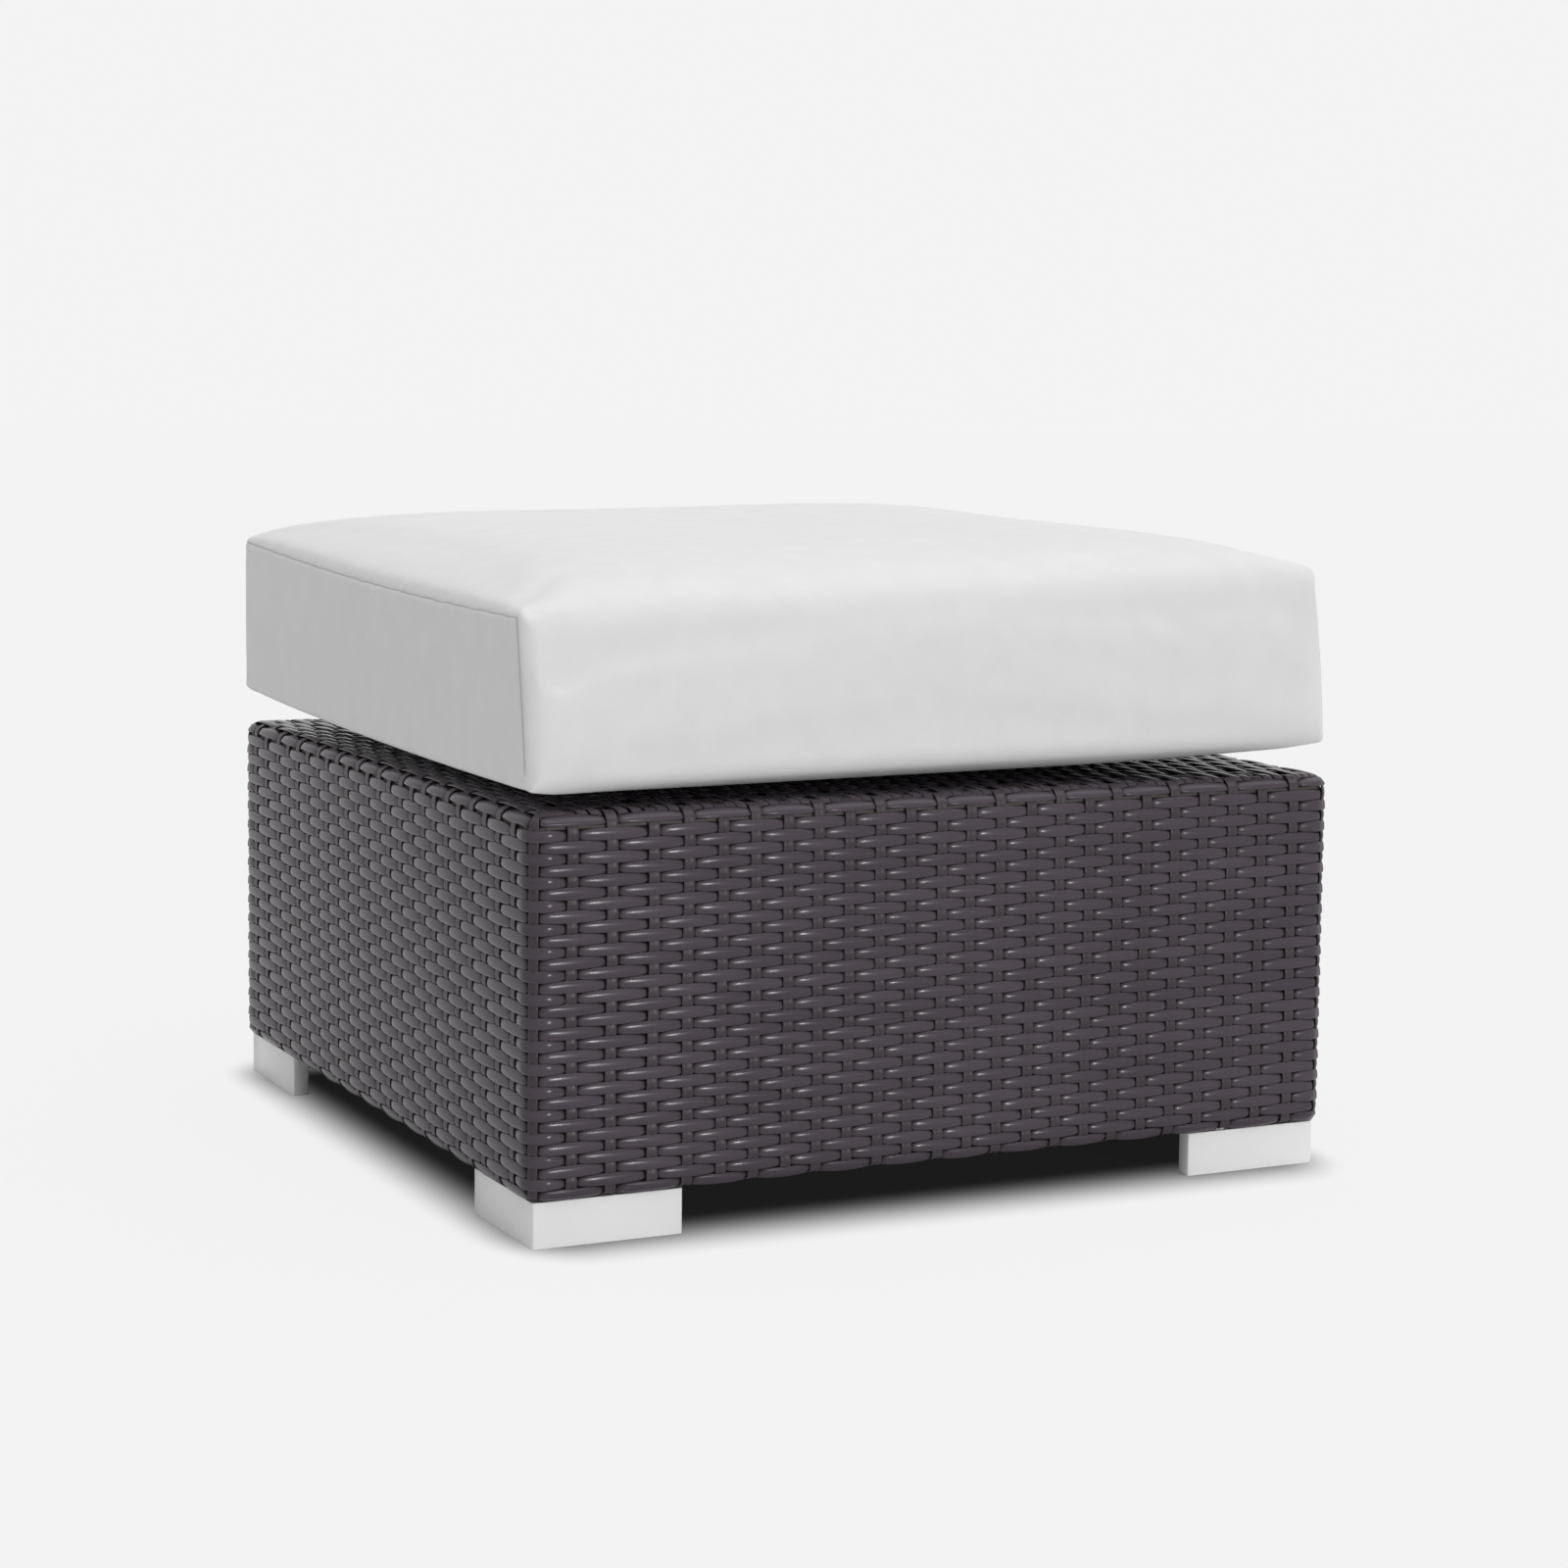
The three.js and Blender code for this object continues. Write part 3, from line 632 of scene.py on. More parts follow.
@dataclass(frozen=True)
class ShellShape:
    """The form that the strands lie on: a box whose edges and corners are rounded to one radius."""

    half: float = 0.350
    edge_radius: float = 0.0133
    low_axis_z: float = 0.0483
    high_axis_z: float = 0.3097
    # The power in the curve under the bottom edge, where a circle has two
    under_power: int = 4

    @property
    def axis(self) -> float:
        """How far the edges' axes lie from the middle."""
        return self.half - self.edge_radius

    @property
    def quarter(self) -> float:
        """The outer length of a quarter turn of an edge."""
        return self.edge_radius * math.pi / 2

    @property
    def rise(self) -> float:
        """The height between the axes of the bottom and top edges."""
        return self.high_axis_z - self.low_axis_z

    @property
    def side_length(self) -> float:
        """The way round one side, from the middle of one corner to the middle of the next."""
        return 2 * self.axis + self.quarter

    def side_point(self, along: Array, up: Array, radius: Array) -> Array:
        """A point on the front side's form.

        Along runs from the middle of the front round the corners: straight to the edge's axis, then an arc,
        then straight along the next side. Up runs the same way from the bottom edge's axis: a turn under it,
        straight up, an arc over the top edge, then inwards over the deck. The turn under it is squarer than
        an arc, as the band there is wound: its curve has a higher power than a circle's two.

        Args:
            along: Length round the box from the middle of the front.
            up: Length up the side from the bottom edge's axis.
            radius: Distance from the edges' axes, which is the edge radius on the outer face.

        Returns:
            The points.
        """
        along, up, radius = np.broadcast_arrays(along, up, radius)
        way = np.sign(along)
        turn = np.clip((np.abs(along) - self.axis) / self.edge_radius, 0.0, math.pi / 2)
        past = np.maximum(np.abs(along) - self.axis - self.quarter, 0.0)
        under = np.maximum(-up, 0.0)
        over = np.maximum(up - self.rise, 0.0)
        tilt = (np.minimum(over, self.quarter) - np.minimum(under, self.quarter)) / self.edge_radius
        inward = np.maximum(over - self.quarter, 0.0) + np.maximum(under - self.quarter, 0.0)
        power = self.under_power
        square = (np.cos(tilt) ** power + np.sin(tilt) ** power) ** (-1 / power)
        radius = np.where(under > 0, radius * square, radius)
        level = radius * np.cos(tilt)
        x = way * (np.minimum(np.abs(along), self.axis) + level * np.sin(turn))
        y = -self.axis - level * np.cos(turn) + past + inward
        z = self.low_axis_z + np.clip(up, 0.0, self.rise) + radius * np.sin(tilt)
        return np.stack([x, y, z], axis=-1)

    def deck_point(self, x: Array, y: Array, radius: Array) -> Array:
        """A point on the deck's form: flat between the edges' axes, and an arc over each edge beyond them.

        Args:
            x: Length from the middle towards the right.
            y: Length from the middle towards the back.
            radius: Distance from the edges' axes.

        Returns:
            The points.
        """
        x, y, radius = np.broadcast_arrays(x, y, radius)
        lean_x = np.clip((np.abs(x) - self.axis) / self.edge_radius, 0.0, math.pi / 2)
        lean_y = np.clip((np.abs(y) - self.axis) / self.edge_radius, 0.0, math.pi / 2)
        flat_x = np.clip(x, -self.axis, self.axis)
        flat_y = np.clip(y, -self.axis, self.axis)
        return np.stack(
            [
                flat_x + np.sign(x) * radius * np.sin(lean_x),
                flat_y + np.sign(y) * radius * np.sin(lean_y) * np.cos(lean_x),
                self.high_axis_z + radius * np.cos(lean_x) * np.cos(lean_y),
            ],
            axis=-1,
        )


@dataclass
class WovenShell:
    """The woven skin: weavers run round the box over and under upright stakes, and the deck is woven too."""

    shape: ShellShape = field(default_factory=ShellShape)
    pitches: int = 25
    rows: int = 31
    low_row_z: float = 0.0486
    row_pitch: float = 0.00857
    rim_band_up: float = 0.0079
    bottom_band_up: float = -0.0098
    weaver_halves: tuple[float, float] = (0.0044, 0.0033)
    rim_halves: tuple[float, float] = (0.0047, 0.0039)
    bottom_halves: tuple[float, float] = (0.0054, 0.0048)
    flange: tuple[float, float] = (0.00462, 0.00462)
    rim_flange: tuple[float, float] = (0.0047, 0.0060)
    bottom_flange: tuple[float, float] = (0.0086, 0.0054)
    flange_lip: float = 0.00035
    weaver_thickness: float = 0.00128
    weaver_lean: float = 0.085
    weaver_twist: float = 0.03
    weaver_arch: float = 0.00105
    weaver_dip: float = 0.00225
    weaver_stray: float = 0.00018
    # How fast the stray and the twist wave: radians per pitch along a weaver, and radians per row
    stray_wave: tuple[float, float] = (0.9, 0.35)
    twist_wave: tuple[float, float] = (1.9, 2.4)
    # Between which values each strand's colour shift is drawn
    tone_range: tuple[float, float] = (0.25, 0.75)
    groove_depth: float = 0.00075
    # The shapes of a weaver: how steeply it climbs beside a stake, how full its lens is and how flat its face
    climb_power: float = 0.42
    lens_power: float = 0.6
    face_power: int = 5
    # How far from a stake's middle, in pitches, it still covers the weaver's depth and the weaver's lens
    covered: float = 0.17
    lens_covered: float = 0.15
    # From which distance from a stake, in pitches, the groove behind a weaver runs, and how far
    groove_from: float = 0.2
    groove_length: float = 0.6
    stake_half: float = 0.0046
    stake_thickness: float = 0.0012
    stake_out: float = 0.0007
    stake_in: float = 0.0014
    # Where a stake begins to sink beside a weaver's middle, in rows, and over how much it does so
    stake_sink: tuple[float, float] = (0.12, 0.4)
    deck_stake_sink: tuple[float, float] = (0.22, 0.36)
    # How deep its lower end is tucked in, from which row down, and over how many rows
    stake_tuck: float = 0.0020
    tuck_row: float = -1.2
    tuck_rows: float = 0.6
    # Its steps are closer together over the rim: from how many rows below it, and how many rows apart
    rim_rows: float = 0.2
    rim_step: float = 0.09
    # How many rows past the last one a corner's stake ends
    corner_stake_rows: float = 0.65
    # Where its lower end lies, in quarter turns under the bottom edge
    stake_foot: float = 0.94
    # For painted shade, a side's stakes count as this much less deep, and the deck's strands as this share
    stake_shade: float = 0.0006
    deck_shade: float = 0.7
    stake_stray: float = 0.0009
    # How far the sine of its stray goes over the height of a side, in radians
    stake_wave: float = 5.0
    stake_map_step: float = 0.011
    deck_weaver_halves: tuple[float, float] = (0.0044, 0.0046)
    deck_edge_place: float = 0.3370
    weaver_finish: ResinStrand = ResinStrand("resin_strand_weaver", "#3F383F", "#554E55")
    stake_finish: ResinStrand = ResinStrand("resin_strand_stake", "#3B3539", "#4C454A", roughness=0.3)
    # Where the inner stakes of a side stand, in millimetres from its left corner: they open out at both ends
    stake_places: tuple[float, ...] = (
        34.5, 65.7, 99.0, 127.7, 155.3, 182.3, 209.3, 235.0, 261.0, 287.3, 313.0, 340.3,
        366.0, 392.0, 419.3, 445.7, 471.7, 497.7, 524.3, 551.0, 577.7, 605.3, 633.3, 664.0,
    )  # fmt: skip
    # Steps along a weaver, in pitches from where it lies under a stake to where it does so again
    weaver_steps: tuple[float, ...] = (
        0.0, 0.15, 0.19, 0.24, 0.32, 0.46, 0.7, 1.0, 1.3, 1.54, 1.68, 1.76, 1.81, 1.85,
    )  # fmt: skip
    # Steps along a stake, in rows, in the same way
    stake_steps: tuple[float, ...] = (0.0, 0.25, 0.4, 0.52, 0.7, 1.0, 1.3, 1.48, 1.6, 1.75)
    # Steps along a deck weaver, in pitches to either side of where a stake covers it
    deck_weaver_steps: tuple[float, ...] = (0.0, 0.15, 0.22, 0.3, 0.42, 0.7, 1.0)
    # Steps along a deck stake, as shares of the way from one weaver to the next
    deck_stake_steps: tuple[float, ...] = (0.0, 0.3, 0.5, 0.7)
    deck_weavers_per_stake: int = 3

    def __post_init__(self) -> None:
        """Draws the small unevenness that hand weaving leaves."""
        chance = np.random.default_rng(SEED)
        count = self.pitches + 1
        self.stake_shift = chance.uniform(-self.stake_stray, self.stake_stray, (4, count))
        self.stake_shift[:, [0, -1]] = 0.0
        self.stake_shift[Side.FRONT.value] = 0.0
        self.wobble_phase = chance.uniform(0, 2 * math.pi, (4, count))
        self.side_phase = chance.uniform(0, 2 * math.pi, 4)
        self.chance = chance

    def stake_place(self, index: Array) -> Array:
        """Where a side's stakes stand, as lengths from its middle, with those of the corners."""
        inner = np.array(self.stake_places) / 1000 - self.shape.half
        reach = self.shape.side_length / 2
        return np.concatenate([[-reach], inner, [reach]])[index]

    def stake_table(self, side: Side) -> Array:
        """The places of a side's stakes, corner to corner, and of the next side's first one.

        Args:
            side: The woven side.

        Returns:
            Lengths along the side, one per stake.
        """
        places = self.stake_place(np.arange(self.pitches + 1)) + self.stake_shift[side.value]
        places[0], places[-1] = -self.shape.side_length / 2, self.shape.side_length / 2
        after = (side.value + 1) % 4
        following = self.stake_place(1) + self.stake_shift[after][1] + self.shape.side_length
        return np.append(places, following)

    def stake_wobble(self, side: Side, index: Array, row: Array) -> Array:
        """How far a stake strays sideways at a row: a slow sine up the stake that is still at its ends.

        Args:
            side: The woven side.
            index: Stake numbers.
            row: Row numbers.

        Returns:
            Lengths along the side.
        """
        number = np.minimum(index, self.pitches)
        fade = np.sin(np.pi * np.clip(row / self.rows, 0.0, 1.0))
        inner = np.where((number == 0) | (number >= self.pitches), 0.0, 1.0)
        wave = np.sin(self.stake_wave * row / self.rows + self.wobble_phase[side.value][number])
        return self.stake_stray * inner * fade * wave

    def row_up(self) -> Array:
        """The heights of the bottom band, the plain rows and the rim band, as lengths up the side's form."""
        plain = self.low_row_z - self.shape.low_axis_z + self.row_pitch * np.arange(self.rows)
        return np.concatenate([[self.bottom_band_up], plain, [self.shape.rise + self.rim_band_up]])

    def weaver_depth(self, distance: Array) -> Array:
        """How deep a weaver's outer face lies.

        It is lowest under the stake that covers it, climbs steeply beside that and arches over the next one:
        the dip times 1 - sin(t)^power, where t goes from 0 at the stake's edge to a quarter turn at the next.

        Args:
            distance: Distance in pitches from the nearest stake that covers the weaver.

        Returns:
            Depths under the form.
        """
        turn = math.pi / 2 * np.clip((distance - self.covered) / (1 - self.covered), 0.0, 1.0)
        return self.weaver_dip * (1.0 - np.sin(turn) ** self.climb_power)

    def weaver_lens(self, distance: Array, half: float, end_half: float) -> Array:
        """Half the width of a weaver's outer face: a lens, widest over a stake and narrow under the next.

        It swells from its end to its middle as a quarter of a sine, raised to a power under 1 to be full.

        Args:
            distance: Distance in pitches from the nearest stake that covers the weaver.
            half: Half the width in the middle of the lens.
            end_half: Half the width at its ends.

        Returns:
            Half widths.
        """
        turn = math.pi / 2 * np.clip((distance - self.lens_covered) / (1 - self.lens_covered), 0.0, 1.0)
        return end_half + (half - end_half) * np.sin(turn) ** self.lens_power

    def weaver_ring(
        self, distance: Array, halves: tuple[float, float], flange: tuple[float, float]
    ) -> tuple[Array, Array]:
        """A weaver's section at each step: the arched lens, and behind it a flange that closes the row.

        The arch sinks by a high power of the place across it, so that its face is nearly flat. Between two
        stakes the back lies deeper, by a squared sine, so that the gap between two rows is a groove, dark
        from its own shadow and from the painted shade that its depth brings.

        Args:
            distance: Distance in pitches from the nearest stake that covers the weaver.
            halves: Half widths in the middle and at the ends of each lens.
            flange: How far the flange reaches below and above.

        Returns:
            Places across the strand and depths under the form, by step and section point.
        """
        half = self.weaver_lens(distance, *halves)[:, None]
        outer = self.weaver_depth(distance)[:, None]
        between = np.clip((distance[:, None] - self.groove_from) / self.groove_length, 0.0, 1.0)
        back = outer + self.weaver_thickness + self.groove_depth * np.sin(np.pi * between) ** 2
        reach = np.where(FLANGE < 0, flange[0], flange[1]) * FLANGE
        across = np.concatenate([half * ARCH, np.broadcast_to(reach, (len(distance), len(reach)))], axis=1)
        arch = outer + self.weaver_arch * (half / halves[0]) * np.abs(ARCH) ** self.face_power
        return across, np.concatenate([arch, back - self.flange_lip * FLANGE_LIP], axis=1)

    def tones(self, count: int) -> Array:
        """One colour shift per strand."""
        return self.chance.uniform(*self.tone_range, count)

    def side_weavers(
        self, side: Side, rows: Array, halves: tuple[float, float], flange: tuple[float, float]
    ) -> StrandBatch:
        """The weavers of one side, each from a stake that covers it near one corner to one near the next.

        Args:
            side: The woven side.
            rows: Row numbers, -1 for the bottom band and the row count for the rim band.
            halves: Half widths in the middle and at the ends of each lens.
            flange: How far the flange behind it reaches below and above.

        Returns:
            The strands.
        """
        batch = StrandBatch()
        table = self.stake_table(side)
        for parity in (0, 1):
            chosen = rows[rows % 2 == parity]
            if not len(chosen):
                continue
            first = 0 if (self.pitches * side.value + parity) % 2 else 1
            last = self.pitches + 1 if first == 0 else self.pitches
            loops = (last - first) // 2
            steps = first + (2 * np.arange(loops)[:, None] + np.array(self.weaver_steps)).ravel()
            steps = np.append(steps, last)
            distance = to_even(steps - first)
            low = np.minimum(steps.astype(int), len(table) - 2)
            share = steps - low
            row = chosen[:, None].astype(float)
            here = table[low] + self.stake_wobble(side, low, row)
            there = table[low + 1] + self.stake_wobble(side, low + 1, row)
            along = here * (1 - share) + there * share
            phase = self.side_phase[side.value]
            stray = self.weaver_stray * np.sin(self.stray_wave[0] * steps + self.stray_wave[1] * row + phase)
            up = self.row_up()[chosen + 1][:, None] + stray
            across, depth = self.weaver_ring(distance, halves, flange)
            # The face's upper edge lies deeper than its lower one, by turns more and less along the strand
            twist = np.sin(self.twist_wave[0] * steps + self.twist_wave[1] * row + phase)
            lean = self.weaver_lean + self.weaver_twist * twist
            face = np.where(np.arange(across.shape[1]) < len(ARCH), across, 0.0)
            depth = depth + lean[..., None] * face
            radius = self.shape.edge_radius - depth
            grid = self.shape.side_point(along[..., None], up[..., None] + across, radius)
            tones = self.tones(len(chosen))
            batch.add(turned(grid, side.angle), along[..., None], across, tones, depth)
        return batch

    def stake_depth(self, distance: Array, sunk: Array | float, sink: tuple[float, float]) -> Array:
        """How deep a stake's outer face lies: a smooth step from over a weaver to where it goes under.

        Args:
            distance: Distance in rows from the nearest weaver that the stake covers.
            sunk: How deep it lies where it goes under.
            sink: From which distance it sinks, and over how much.

        Returns:
            Depths under the form.
        """
        return self.stake_out + (sunk - self.stake_out) * smooth_step((distance - sink[0]) / sink[1])

    def side_stakes(self, side: Side) -> StrandBatch:
        """The stakes of one side, from under the bottom edge over the rim to where a deck strand covers each.

        Args:
            side: The woven side.

        Returns:
            The strands.
        """
        batch = StrandBatch()
        table = self.stake_table(side)
        across, depth = STAKE_SECTION.arrays
        crosses_stakes = side in (Side.FRONT, Side.BACK)
        top = self.shape.rise + self.shape.quarter
        if crosses_stakes:
            deck_rows = self.shape.axis + self.stake_place(np.array([1, 2]))
        else:
            deck_rows = self.deck_weaver_place(np.array([0, 1])) + self.shape.axis
        crossings = np.concatenate([[-self.shape.quarter * self.stake_foot], self.row_up(), top + deck_rows])
        numbers = np.arange(-2, self.rows + 3)
        for number in range(self.pitches):
            ring_number = self.pitches * side.value + number
            covered = ring_number % 2 == 1
            end = self.rows + (2 if covered else 1) if number else self.rows + self.corner_stake_rows
            steps = (np.arange(-2, self.rows, 2)[:, None] + np.array(self.stake_steps)).ravel()
            rim_from = self.rows - self.rim_rows
            steps = np.concatenate([steps[steps < rim_from], np.arange(rim_from, end, self.rim_step), [end]])
            sunk = np.where((steps > self.rows + 0.5) & crosses_stakes, self.weaver_dip, self.stake_in)
            below = self.stake_depth(to_even(steps - (1 - ring_number)), sunk, self.stake_sink)
            # The lower end is tucked in behind the bottom band
            tuck = self.stake_tuck * smooth_step((self.tuck_row - steps) / self.tuck_rows)
            below = np.where(steps < self.tuck_row, np.maximum(below, tuck), below)
            up = np.interp(steps, numbers, crossings)
            place = table[number] + self.stake_wobble(side, np.full(len(steps), number), steps)
            under = below[:, None] + self.stake_thickness * depth
            grid = self.shape.side_point(
                place[:, None] + self.stake_half * across, up[:, None], self.shape.edge_radius - under
            )[None]
            wide = self.stake_half * across + self.stake_map_step * number
            # A stake's painted shade follows a depth a little less than its own
            shaded_depth = under - self.stake_shade
            batch.add(turned(grid, side.angle), up[:, None], wide, self.tones(1), shaded_depth)
        return batch

    def deck_weaver_place(self, index: Array, side: Side = Side.FRONT) -> Array:
        """Where the deck's weavers lie: three to a stake, in line with the stakes of the front or back side.

        Args:
            index: Weaver numbers from the left.
            side: The side whose stakes they meet.

        Returns:
            Lengths from the middle towards the right.
        """
        places = self.stake_table(side)[: self.pitches + 1].copy()
        places[0], places[-1] = -self.deck_edge_place, self.deck_edge_place
        if side is Side.BACK:
            places = -places[::-1]
        stakes = np.asarray(index) / self.deck_weavers_per_stake
        return np.interp(stakes, np.arange(self.pitches + 1), places)

    def deck_stake_place(self, index: Array, side: Side) -> Array:
        """Where the deck's stakes lie, in line with the stakes of the left or right side.

        Args:
            index: Deck stake numbers from the front.
            side: The side whose stakes they meet.

        Returns:
            Lengths from the middle towards the back.
        """
        places = self.stake_table(side)[: self.pitches + 1]
        return (places if side is Side.RIGHT else -places[::-1])[index]

    def across_deck(self, place: Array, first: float, last: float) -> Array:
        """Runs evenly from a first to a last value as a place goes from one edge's axis to the other's."""
        share = np.clip((place + self.shape.axis) / (2 * self.shape.axis), 0.0, 1.0)
        return (1 - share) * first + share * last

    def deck_weavers(self) -> StrandBatch:
        """The deck's weavers, which run from front to back and go over the edges behind the rim band."""
        batch = StrandBatch()
        across, depth = DECK_SECTION.arrays
        last = self.deck_weavers_per_stake * self.pitches
        band = self.shape.axis + self.shape.quarter - self.rim_band_up
        inner = self.deck_stake_place(np.arange(1, self.pitches), Side.LEFT)
        crossings = np.concatenate([[-band], inner, [band]])
        near = np.array(self.deck_weaver_steps)
        for number in range(last + 1):
            whole = number % self.deck_weavers_per_stake != 0 or number in (0, last)
            odd = number % 2 == 1
            # Where deck stakes cover this weaver; the bands cover the ends of a whole one
            covers = np.arange(2 if odd else 1, self.pitches, 2)
            if whole:
                covers = np.concatenate([[0], covers, [self.pitches]])
            steps = np.concatenate([covers[:, None] + near, covers[:, None] - near]).ravel()
            steps = np.unique(np.round(np.clip(steps, covers[0], covers[-1]), 4))
            distance = np.minimum(np.abs(steps[:, None] - covers).min(axis=1), 1.0)
            y = np.interp(steps, np.arange(self.pitches + 1), crossings)
            ends = (self.deck_weaver_place(number, side) for side in (Side.FRONT, Side.BACK))
            x = self.across_deck(y, *ends)
            half = self.weaver_lens(distance, *self.deck_weaver_halves)
            under = self.weaver_depth(distance)[:, None] + self.weaver_thickness * depth
            grid = self.shape.deck_point(
                x[:, None] + half[:, None] * across, y[:, None], self.shape.edge_radius - under
            )[None]
            wide = half[:, None] * across + self.stake_map_step * number
            # A deck strand's painted shade follows a share of its depth
            batch.add(grid, y[:, None], wide, self.tones(1), self.deck_shade * under)
        return batch

    def deck_stakes(self) -> StrandBatch:
        """The deck's stakes, from under one side edge's first weaver to under the other's."""
        batch = StrandBatch()
        across, depth = DECK_SECTION.arrays
        last = self.deck_weavers_per_stake * self.pitches
        fractions = np.array(self.deck_stake_steps)
        for number in range(1, self.pitches):
            first = number % 2
            end = last if number % 2 else last - 1
            steps = np.append((np.arange(first, end)[:, None] + fractions).ravel(), end)
            below = self.stake_depth(to_even(steps + number + 1), self.stake_in, self.deck_stake_sink)
            under = below[:, None] + self.stake_thickness * depth
            weavers = np.arange(last + 1)
            x = np.interp(steps, weavers, self.deck_weaver_place(weavers))
            ends = (self.deck_stake_place(number, side) for side in (Side.LEFT, Side.RIGHT))
            y = self.across_deck(x, *ends)
            grid = self.shape.deck_point(
                x[:, None],
                y[:, None] + self.stake_half * across,
                self.shape.edge_radius - under,
            )[None]
            wide = self.stake_half * across + self.stake_map_step * number
            # A deck strand's painted shade follows a share of its depth
            batch.add(grid, x[:, None], wide, self.tones(1), self.deck_shade * under)
        return batch

    def build(self) -> None:
        """Makes every strand piece and lets it stand for the CAD's woven nodes."""
        weaver = self.weaver_finish.material()
        stake = self.stake_finish.material()
        for side in Side:
            node = f"woven_side_{side.label}"
            for name, rows, halves, flange in (
                ("weavers", np.arange(self.rows), self.weaver_halves, self.flange),
                ("rim_band", np.array([self.rows]), self.rim_halves, self.rim_flange),
                ("bottom_band", np.array([-1]), self.bottom_halves, self.bottom_flange),
            ):
                strands = self.side_weavers(side, rows, halves, flange)
                settle(strands.build(f"{name}_{side.label}", weaver), "base", "wicker", node)
            settle(self.side_stakes(side).build(f"stakes_{side.label}", stake), "base", "wicker", node)
        settle(self.deck_weavers().build("deck_weavers", weaver), "base", "wicker", "woven_deck")
        settle(self.deck_stakes().build("deck_stakes", stake), "base", "wicker", "woven_deck")


# Frame, feet and fasteners


@dataclass
class FrameAndFeet:
    """The tube frame, the four feet and the screws and rivet nuts that hold them."""

    coat: PowderCoat = PowderCoat("powder_coated_aluminium", "#4A4542")
    foot_finish: SatinMoulding = SatinMoulding("satin_moulded_foot", "#F2F2F2")
    zinc: PlatedMetal = PlatedMetal("zinc_plated_steel", "#B4B6B8")
    black_zinc: PlatedMetal = PlatedMetal("black_zinc_plated_steel", "#4A4B4D", roughness=0.42)
    foot_bevel: float = 0.0006
    tube_crease: float = 40.0
    foot_crease: float = 30.0
    foot_bevel_from: float = 40.0

    def build(self) -> None:
        """Dresses the frame's nodes and makes the feet with eased edges."""
        coat, foot = self.coat.material(), self.foot_finish.material()
        zinc, black_zinc = self.zinc.material(), self.black_zinc.material()
        for name in sorted(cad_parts):
            if name.startswith(("top_rail", "bottom_rail", "corner_post", "deck_bar")):
                tube = merged_copy(name, f"{name}_tube", coat, self.tube_crease)
                settle(tube, "base", "frame_tube", name)
            elif name.startswith("foot_screw"):
                self.dress(name, zinc)
            elif name.startswith("rivet_nut"):
                self.dress(name, black_zinc)
            elif name.startswith("foot_"):
                piece = merged_copy(name, f"{name}_moulding", foot, self.foot_crease)
                ease_edges(piece, self.foot_bevel, self.foot_bevel_from, harden=True)
                settle(piece, "base", "foot", name)

    def dress(self, node: str, material: bpy.types.Material) -> None:
        """Gives a CAD node its finish.

        Args:
            node: The CAD node.
            material: Its finish.
        """
        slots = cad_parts[node].data.materials
        slots.clear()
        slots.append(material)


# Cushion


